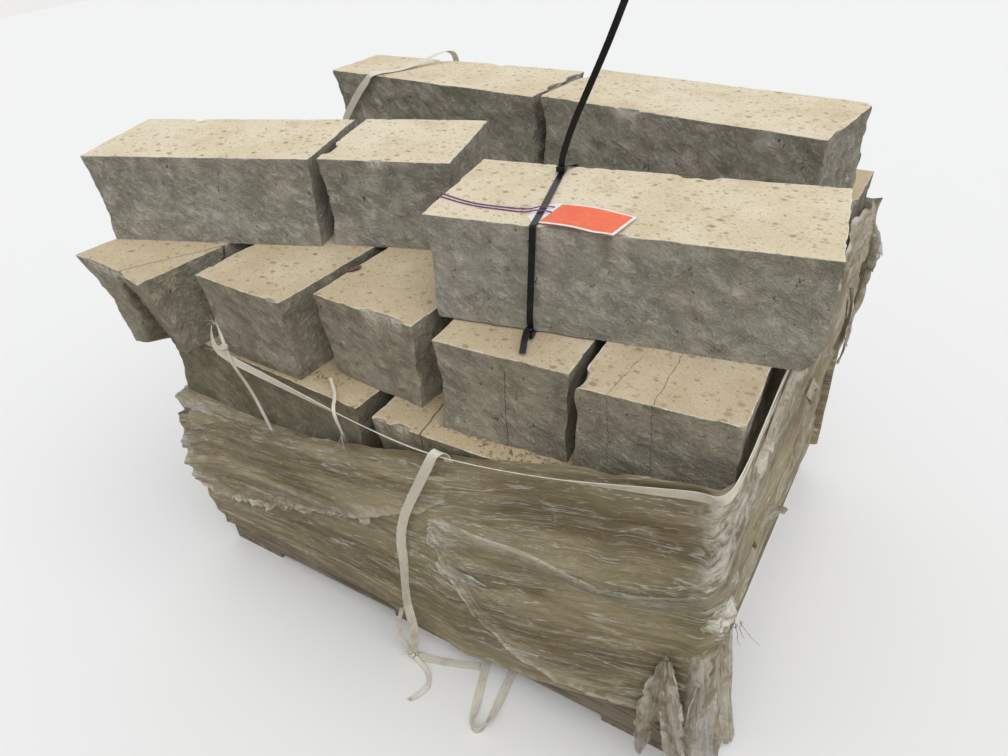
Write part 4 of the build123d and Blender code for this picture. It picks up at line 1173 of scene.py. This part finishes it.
strapFinish = strapMaterial("woven_strap")
strapThickness = 0.0011
straps = {
    "strap_front": {
        "points": [
            (-0.3798, -0.3985, 0.606), (-0.3459, -0.4305, 0.599), (-0.2919, -0.4374, 0.5901),
            (-0.2349, -0.4383, 0.5829), (-0.1219, -0.4447, 0.574), (0, -0.452, 0.5661),
            (0.1181, -0.4524, 0.5569), (0.2361, -0.4494, 0.5711), (0.3561, -0.4464, 0.598),
            (0.474, -0.4402, 0.627), (0.5281, -0.4379, 0.6421), (0.563, -0.448, 0.653),
            (0.5666, -0.391, 0.6639), (0.5666, -0.3301, 0.682), (0.5675, -0.2161, 0.7159),
        ],
        "looks": [
            (0, -1, 0.2), (0.1, -1, 0.2), (0, -1, 0.1), (0, -1, 0), (0, -0.9, -0.3), (0, -0.7, -0.6),
            (0, -0.6, -0.64), (0, -0.6, -0.64), (0, -0.6, -0.64), (0, -0.9, -0.3), (0.1, -1, -0.1),
            (0.6, -0.8, 0), (1, -0.1, 0), (1, 0, 0), (1, 0, 0),
        ],
        "width": 0.016, "length": 1.2, "far": "object", "lay": "taut",
    },
    "strap_knot_tail": {
        "points": [
            (-0.322, -0.4219, 0.65), (-0.3089, -0.4294, 0.6259), (-0.2929, -0.4391, 0.6),
            (-0.286, -0.4394, 0.5781), (-0.281, -0.4304, 0.5401), (-0.2719, -0.4259, 0.497),
            (-0.2559, -0.4274, 0.44),
        ],
        "looks": [(0, -1, 0), (0.3, -1, 0.3), (0, -1, 0.1), (0, -1, 0), (0, -1, 0), (0, -1, 0), (0, -1, 0)],
        "width": [0.003, 0.006, 0.009, 0.009, 0.009, 0.009, 0.009], "length": 0.226, "far": "object", "lay": "hanging",
    },
    "strap_frayed_tail": {
        "points": [
            (-0.104, -0.3961, 0.584), (-0.0799, -0.4141, 0.5829), (-0.0599, -0.4341, 0.584),
            (-0.046, -0.4543, 0.5851), (-0.04, -0.4601, 0.5689), (-0.04, -0.4551, 0.5449),
            (-0.0439, -0.4501, 0.5281),
        ],
        "looks": [
            (0.4, -0.3, 1), (0.5, -0.6, 0.7), (0.7, -0.8, 0.4), (0.6, -0.9, 0.1), (0.3, -1, 0), (0, -1, 0),
            (0, -1, 0),
        ],
        "width": 0.0055, "length": 0.141, "far": "bare", "lay": "hanging",
    },
    "strap_hanging": {
        "points": [
            (0.161, -0.4439, 0.549), (0.156, -0.4441, 0.567), (0.1501, -0.4595, 0.5759),
            (0.137, -0.4639, 0.548), (0.1121, -0.462, 0.4999), (0.0761, -0.461, 0.43),
            (0.0541, -0.459, 0.377), (0.043, -0.4591, 0.325), (0.0412, -0.458, 0.28),
            (0.0301, -0.458, 0.2051), (0.0291, -0.461, 0.15), (0.038, -0.465, 0.105),
            (0.031, -0.465, 0.05), (0.0201, -0.462, 0.0123),
        ],
        "looks": [
            (0, 1, 0), (0, 1, 0.4), (0, -0.5, 0.9), (0.2, -1, 0.1), (0.2, -1, 0), (0.2, -1, 0), (0.3, -1, 0),
            (0.9, -1, 0), (1, -0.5, 0), (1, -0.2, 0), (1, -0.4, 0), (1, -0.8, 0), (1, -0.6, 0), (1, -0.4, 0),
        ],
        "width": 0.016, "length": 0.622, "far": "object", "lay": "hanging",
    },
    "strap_cut_end": {
        "points": [
            (0.0285, -0.4619, 0.0042), (0.0461, -0.4569, 0.0014), (0.084, -0.4459, 0.0007),
            (0.1481, -0.422, 0.0006),
        ],
        "looks": (0, 0, 1),
        "width": 0.016, "length": 0.127, "far": "bare", "lay": "loose",
    },
    "strap_curl": {
        "points": [
            (0.0274, -0.468, 0.0065), (0.0441, -0.473, 0.0046), (0.0661, -0.48, 0.0034),
            (0.0821, -0.4961, 0.0034), (0.0871, -0.516, 0.0034), (0.0701, -0.542, 0.0026),
        ],
        "looks": [(0, -0.3, 1), (0, -0.3, 1), (0.4, -0.2, 0.9), (0.6, 0, 0.8), (0.5, 0.2, 0.8), (0, 0.3, 1)],
        "width": 0.008, "length": 0.113, "far": "bare", "lay": "loose",
    },
    "strap_small_loop": {
        "points": [
            (0.0201, -0.466, 0.15), (0.0091, -0.468, 0.118), (0.0021, -0.4701, 0.084),
            (0.006, -0.469, 0.044), (0.0156, -0.465, 0.0126),
        ],
        "looks": [(1, -0.8, 0), (1, -1, 0), (1, -1, 0), (1, -1, 0), (1, -1, 0)],
        "width": 0.008, "length": 0.141, "far": "object", "lay": "hanging",
    },
    "strap_ground_loop": {
        "points": [
            (0.1381, -0.3721, 0.0006), (0.152, -0.4049, 0.0006), (0.178, -0.478, 0.0006),
            (0.1901, -0.5121, 0.0054), (0.1972, -0.53, 0.0094), (0.2111, -0.5389, 0.0092),
            (0.2232, -0.525, 0.0094), (0.2211, -0.4979, 0.0056), (0.2121, -0.4401, 0.0006),
            (0.203, -0.3721, 0.0006),
        ],
        "looks": [
            (0, 0, 1), (0, 0, 1), (0, 0, 1), (-0.5, -0.2, 0.8), (-0.8, -0.6, 0.15), (0.2, -1, 0),
            (0.9, -0.3, -0.15), (0.5, 0, -0.8), (0, 0, -1), (0, 0, -1),
        ],
        "width": 0.016, "length": 0.355, "far": "bare", "lay": "loose",
    },
    "strap_over_stone": {
        "points": [
            (-0.585, 0.2292, 0.732), (-0.577, 0.2285, 0.759), (-0.5591, 0.2271, 0.787),
            (-0.5043, 0.2227, 0.846), (-0.4715, 0.2184, 0.872), (-0.4616, 0.2164, 0.8858),
            (-0.4469, 0.2369, 0.8848), (-0.4228, 0.2751, 0.8821), (-0.3939, 0.3229, 0.892),
            (-0.3727, 0.362, 0.903), (-0.3618, 0.3842, 0.902), (-0.3569, 0.3959, 0.887),
            (-0.3541, 0.3926, 0.851), (-0.3504, 0.3893, 0.799), (-0.3472, 0.3911, 0.735),
        ],
        "looks": [
            (0, -1, 0), (0, -1, 0), (0, -1, 0), (0, -1, 0), (-0.08, -1, 0.3), (-0.08, -1, 1), (0, 0, 1),
            (0, 0, 1), (0, 0, 1), (0, 0.3, 1), (0, 0.8, 0.7), (0, 1, 0.2), (0, 1, 0), (0, 1, 0), (0, 1, 0),
        ],
        "width": 0.016, "length": 0.566, "far": "object", "lay": "taut",
    },
}
for name, facts in straps.items():
    points = facts["points"]
    piece, line, measured, wide = ribbonPiece(name + "_band", points, facts["looks"], facts["width"], strapFinish)
    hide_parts(name)
    print(name, "measures", round(measured, 3), "of", facts["length"])
print("straps ready")


# tag and its string

tagSize = {
    "length": 0.133,
    "width": 0.067,
    "rise": 0.004,
    "cut": 0.017,
    "turn": -2.2,
    "place": (0.2246, -0.2405, 0.8812),
}
trimThickness = 0.0005


def tagMaterial():
    # an orange field inside a white border, with a white tied end
    material = newMaterial("shipping_tag", Roughness=0.45)
    x, y = put("SeparateXYZ", {0: put("UVMap", uv_map="UVMap")}).node.outputs[:2]
    across = times(curve(y, 0.0035, 0.0042), curve(y, 0.0635, 0.0628))
    along = times(curve(x, 0.026, 0.0267), curve(x, 0.1295, 0.1288))
    wear = noise(where(), 120, 4, 0.6)
    paper = layers(rgb(0.78, 0.76, 0.72), (wear, 0.4, 0.7, 1, rgb(0.86, 0.85, 0.82)))
    ink = layers(rgb(0.86, 0.135, 0.045), (wear, 0.45, 0.75, 1, rgb(0.9, 0.2, 0.085)))
    shade(Base_Color=blend(times(across, along), paper, ink))
    return material


def thicken(piece, **settings):
    solid = piece.modifiers.new("thickness", "SOLIDIFY")
    solid.thickness = trimThickness
    for key, value in settings.items():
        setattr(solid, key, value)


def makeTag():
    # a sheet of length x width that arches past its tied end and curls at its far corners
    rows, columns = 41, 73
    along, across = np.meshgrid(np.linspace(0, 1, columns), np.linspace(0, 1, rows))
    size = tagSize
    x = along * size["length"]
    cut = np.clip(size["cut"] - x, 0, None)
    y = np.clip(-across * size["width"], -size["width"] + cut, -cut)
    bow = np.sin(np.pi * np.clip((along - 0.17) / 0.83, 0, 1))
    curl = smoothStep(0.75, 1.0, along) * (0.0035 * across + 0.001)
    z = size["rise"] * bow + curl + 0.0012 * smoothStep(0, 0.2, along)
    turn = math.radians(size["turn"])
    points = turned(x, y, z, math.cos(turn), math.sin(turn)) + np.array(size["place"])
    faces = gridFaces(rows, columns)[:, ::-1]
    piece = meshPiece("shipping_tag", points, faces, tagMaterial(), uv=np.stack([x, -y], -1))
    thicken(piece, offset=0)
    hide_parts("tag")


stringRoute = [
    (0.2455, -0.2564, 0.8831), (0.2393, -0.2625, 0.8858), (0.2264, -0.2706, 0.8858), (0.2169, -0.2746, 0.8822),
    (0.1756, -0.2821, 0.8822), (0.1307, -0.2861, 0.8822), (0.0845, -0.2756, 0.8822), (0.0729, -0.2738, 0.8831),
    (0.0727, -0.2736, 0.867), (0.0726, -0.2748, 0.853), (0.0732, -0.279, 0.848), (0.0739, -0.2831, 0.853),
    (0.0743, -0.2839, 0.867), (0.0745, -0.284, 0.8831), (0.0859, -0.2845, 0.8822), (0.136, -0.2938, 0.8822),
    (0.1857, -0.2885, 0.8822), (0.2185, -0.2844, 0.8822), (0.2281, -0.2814, 0.8858), (0.2425, -0.2761, 0.8858),
    (0.2501, -0.2729, 0.8831),
]


def makeString(points):
    # a doubled thin string, smooth along its route
    material = newMaterial("purple_string", Roughness=0.6)
    twist = noise(where(turn=(20, 30, 0)), 700, 2, 0.5)
    shade(Base_Color=layers(rgb(0.085, 0.02, 0.12), (twist, 0.4, 0.6, 1, rgb(0.26, 0.09, 0.33))))
    data = splineCurve("tag_string_line", points, 8)
    data.bevel_depth = 0.0009
    data.bevel_resolution = 2
    data.use_fill_caps = True
    data.materials.append(material)
    piece = newObject("tag_string_cord", data)
    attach(piece, "root")
    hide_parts("tag_string")


makeTag()
makeString(stringRoute)
print("tag and string ready")


# knots, loose yarns and debris

def knotPiece(name, centre, size, turn, cord, node=None):
    # a tight knot: a closed line that winds twice round and three times through, as a thick cord
    steps, sides = 96, 10
    centre = np.array(centre)
    t = np.linspace(0, 2 * np.pi, steps, endpoint=False)
    wide = 0.66 + 0.34 * np.cos(3 * t)
    loop = np.stack([wide * np.cos(2 * t), wide * np.sin(2 * t), 0.8 * np.sin(3 * t)], 1)
    line = loop * (np.array(size) / 2 - cord / 2)
    a, b = inRadians(turn)
    tip = np.array([[1, 0, 0], [0, math.cos(a), -math.sin(a)], [0, math.sin(a), math.cos(a)]])
    spin = np.array([[math.cos(b), -math.sin(b), 0], [math.sin(b), math.cos(b), 0], [0, 0, 1]])
    line = line @ tip.T @ spin.T + centre
    ahead = unit(np.roll(line, -1, axis=0) - np.roll(line, 1, axis=0))
    side = unit(np.cross(ahead, unit(line - centre)))
    out = np.cross(side, ahead)
    angle = np.linspace(0, 2 * np.pi, sides, endpoint=False)
    cos, sin = np.cos(angle)[:, None], np.sin(angle)[:, None]
    ring = line[:, None] + cord / 2 * (side[:, None] * cos * 1.3 + out[:, None] * sin * 0.7)
    ring[..., 2] = np.maximum(ring[..., 2], 0.0005)
    uv = np.stack(np.meshgrid(angle * cord / 3, t * 0.01), axis=-1)
    piece = meshPiece(name, ring, gridFaces(steps, sides, True, True)[:, ::-1], strapFinish, uv=uv)
    if node:
        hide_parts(node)


# root, spread of the roots and its share by axis, direction, its spread and share by axis,
# shortest and longest, how many, seed, thickness and droop of each bunch
alike = (1, 1, 1)
looseYarns = {
    "strap_upper_frays": (
        (-0.32, -0.425, 0.647), 0.0016, alike, (-0.35, -0.15, 0.85), 0.2, alike,
        (0.006, 0.02), 12, 13, 0.0007, 0.2),
    "strap_knot_frays": (
        (-0.2975, -0.444, 0.617), 0.003, alike, (-0.7, -0.4, 0.7), 0.4, alike,
        (0.006, 0.022), 14, 14, 0.0007, 0.4),
    "film_corner_threads": (
        (0.586, -0.402, 0.4), 0.006, alike, (0.06, -0.12, -1.0), 0.07, alike,
        (0.015, 0.045), 8, 18, 0.0014, 0.1),
    "strap_floor_frays": (
        (0.0186, -0.464, 0.0075), 0.003, (1, 1, 0.5), (0.0, -0.5, 0.12), 0.8, (1, 0.7, 0.25),
        (0.008, 0.026), 30, 15, 0.0006, 0.25),
    "strap_curl_frays": (
        (0.0705, -0.5415, 0.003), 0.0014, (1.6, 1, 0.3), (-0.45, -0.8, 0.02), 0.22, (1, 1, 0.2),
        (0.003, 0.0045), 16, 16, 0.0006, 0.1),
    "strap_tail_frays": (
        (-0.0436, -0.4503, 0.5285), 0.002, alike, (-0.1, -0.1, -1.0), 0.16, alike,
        (0.006, 0.018), 18, 17, 0.0006, 0.3),
}


def frays():
    # loose yarns at the knots and the cut ends
    rng = np.random.default_rng(12)
    knotPiece("strap_upper_knot", (-0.2975, -0.4405, 0.615), (0.017, 0.011, 0.021), (90, 0), 0.0045)
    low = (0.0186, -0.4634, 0.0063)
    knotPiece("strap_lower_knot", low, (0.021, 0.018, 0.012), (12, 20), 0.0046, "strap_floor_knot")
    for name, facts in looseYarns.items():
        root, spread, rootShare, way, stray, wayShare, lengths, count, seed, thickness, droop = facts
        roots = np.array(root) + rng.normal(0, spread, (count, 3)) * np.array(rootShare)
        ways = np.array(way) + rng.normal(0, stray, (count, 3)) * np.array(wayShare)
        ofFilm = name.startswith("film")
        material, slot = (filmFinish["torn"], "stretch_film") if ofFilm else (strapFinish, "woven_strap")
        strands(name, roots, ways, rng.uniform(*lengths, count), material, seed, thickness, droop)


leafSize = {"length": 0.026, "width": 0.01, "place": (-0.108, -0.289, 0.7294), "turn": 62}


def leafPiece():
    # a dry leaf: a pointed oval, cupped along its midrib and curled at the tip
    size = leafSize
    along, across = np.meshgrid(np.linspace(-1, 1, 33), np.linspace(-1, 1, 15))
    half = size["width"] / 2 * np.clip(1 - np.abs(along) ** 2.2, 0, 1) ** 0.8 * (1 + 0.12 * np.sin(along * 13))
    cup = 0.003 * np.abs(across) ** 1.5 * (1 - along**2)
    z = cup + 0.0028 * smoothStep(0.3, 1, along) + 0.0006 * np.sin(along * 9 + across * 4) + 0.0012
    turn = math.radians(size["turn"])
    points = turned(along * size["length"] / 2, across * half, z, math.cos(turn), math.sin(turn))
    material = newMaterial("dry_leaf", Roughness=0.6)
    vein = noise(where(), 300, 4, 0.6)
    shade(Base_Color=layers(rgb(0.075, 0.032, 0.014), (vein, 0.35, 0.65, 1, rgb(0.21, 0.1, 0.042))))
    points = points + np.array(size["place"])
    thicken(meshPiece("dry_leaf", points, gridFaces(*along.shape), material))


# range of x, range of y, height and how many crumbs
crumbBeds = [
    ((0.2, 0.37), (-0.432, -0.4), 0.5772, 120),
    ((0.12, 0.2), (-0.412, -0.396), 0.5772, 50),
    ((-0.13, -0.08), (-0.405, -0.388), 0.5772, 40),
    ((-0.16, -0.13), (-0.4, -0.38), 0.5772, 20),
]


def crumbsPiece():
    # stone crumbs and dry bits: stretched eight-sided grains strewn along the two ledges
    rng = np.random.default_rng(31)
    beds = [[rng.uniform(*x, n), rng.uniform(*y, n), np.full(n, z)] for x, y, z, n in crumbBeds]
    centres = np.hstack(beds).T
    count = len(centres)
    size = rng.uniform(0.0005, 0.0017, (count, 1))
    ranges = ((0.8, 4.2), (0.6, 1.2), (0.4, 0.9))
    size = size * np.stack([rng.uniform(*ends, count) for ends in ranges], 1)
    angle = rng.uniform(0, np.pi, count)[:, None]
    corners = np.array([(1, 0, 0), (0, 1, 0), (-1, 0, 0), (0, -1, 0), (0, 0, 1), (0, 0, -1)], float)
    x, y, z = np.moveaxis(corners[None] * size[:, None], -1, 0)
    points = turned(x, y, z, np.cos(angle), np.sin(angle))
    points += centres[:, None] + np.array([0, 0, 1]) * size[:, None, 2:] * 0.8
    faces = np.array([(0, 1, 4), (1, 2, 4), (2, 3, 4), (3, 0, 4), (1, 0, 5), (2, 1, 5), (3, 2, 5), (0, 3, 5)])
    faces = (faces[None] + (np.arange(count) * 6)[:, None, None]).reshape(-1, 3)
    material = newMaterial("crumbs", Roughness=0.9)
    mixed = noise(where(), 160, 3, 0.6)
    shade(Base_Color=layers(rgb(0.2, 0.14, 0.085), (mixed, 0.4, 0.6, 1, rgb(0.46, 0.38, 0.26))))
    meshPiece("crumbs", points, faces, material, smooth=False)


frays()
leafPiece()
crumbsPiece()
print("knots, frays, leaf and crumbs ready")


# cable ties

def nylonMaterial():
    # black nylon with a soft sheen, dusted
    material = newMaterial("black_nylon", Roughness=0.3, Specular_IOR_Level=0.28)
    dust = noise(where(), 60, 5, 0.65)
    colour = layers(rgb(0.0065, 0.0075, 0.0095), (dust, 0.54, 0.78, 0.45, rgb(0.055, 0.053, 0.05)))
    shade(Base_Color=colour, Normal=raised(dust, 0.0006, 0.5))
    return material


nylon = nylonMaterial()
giveMaterial("cable_tie_long", nylon)
giveMaterial("cable_tie_short", nylon)
print("ties ready")
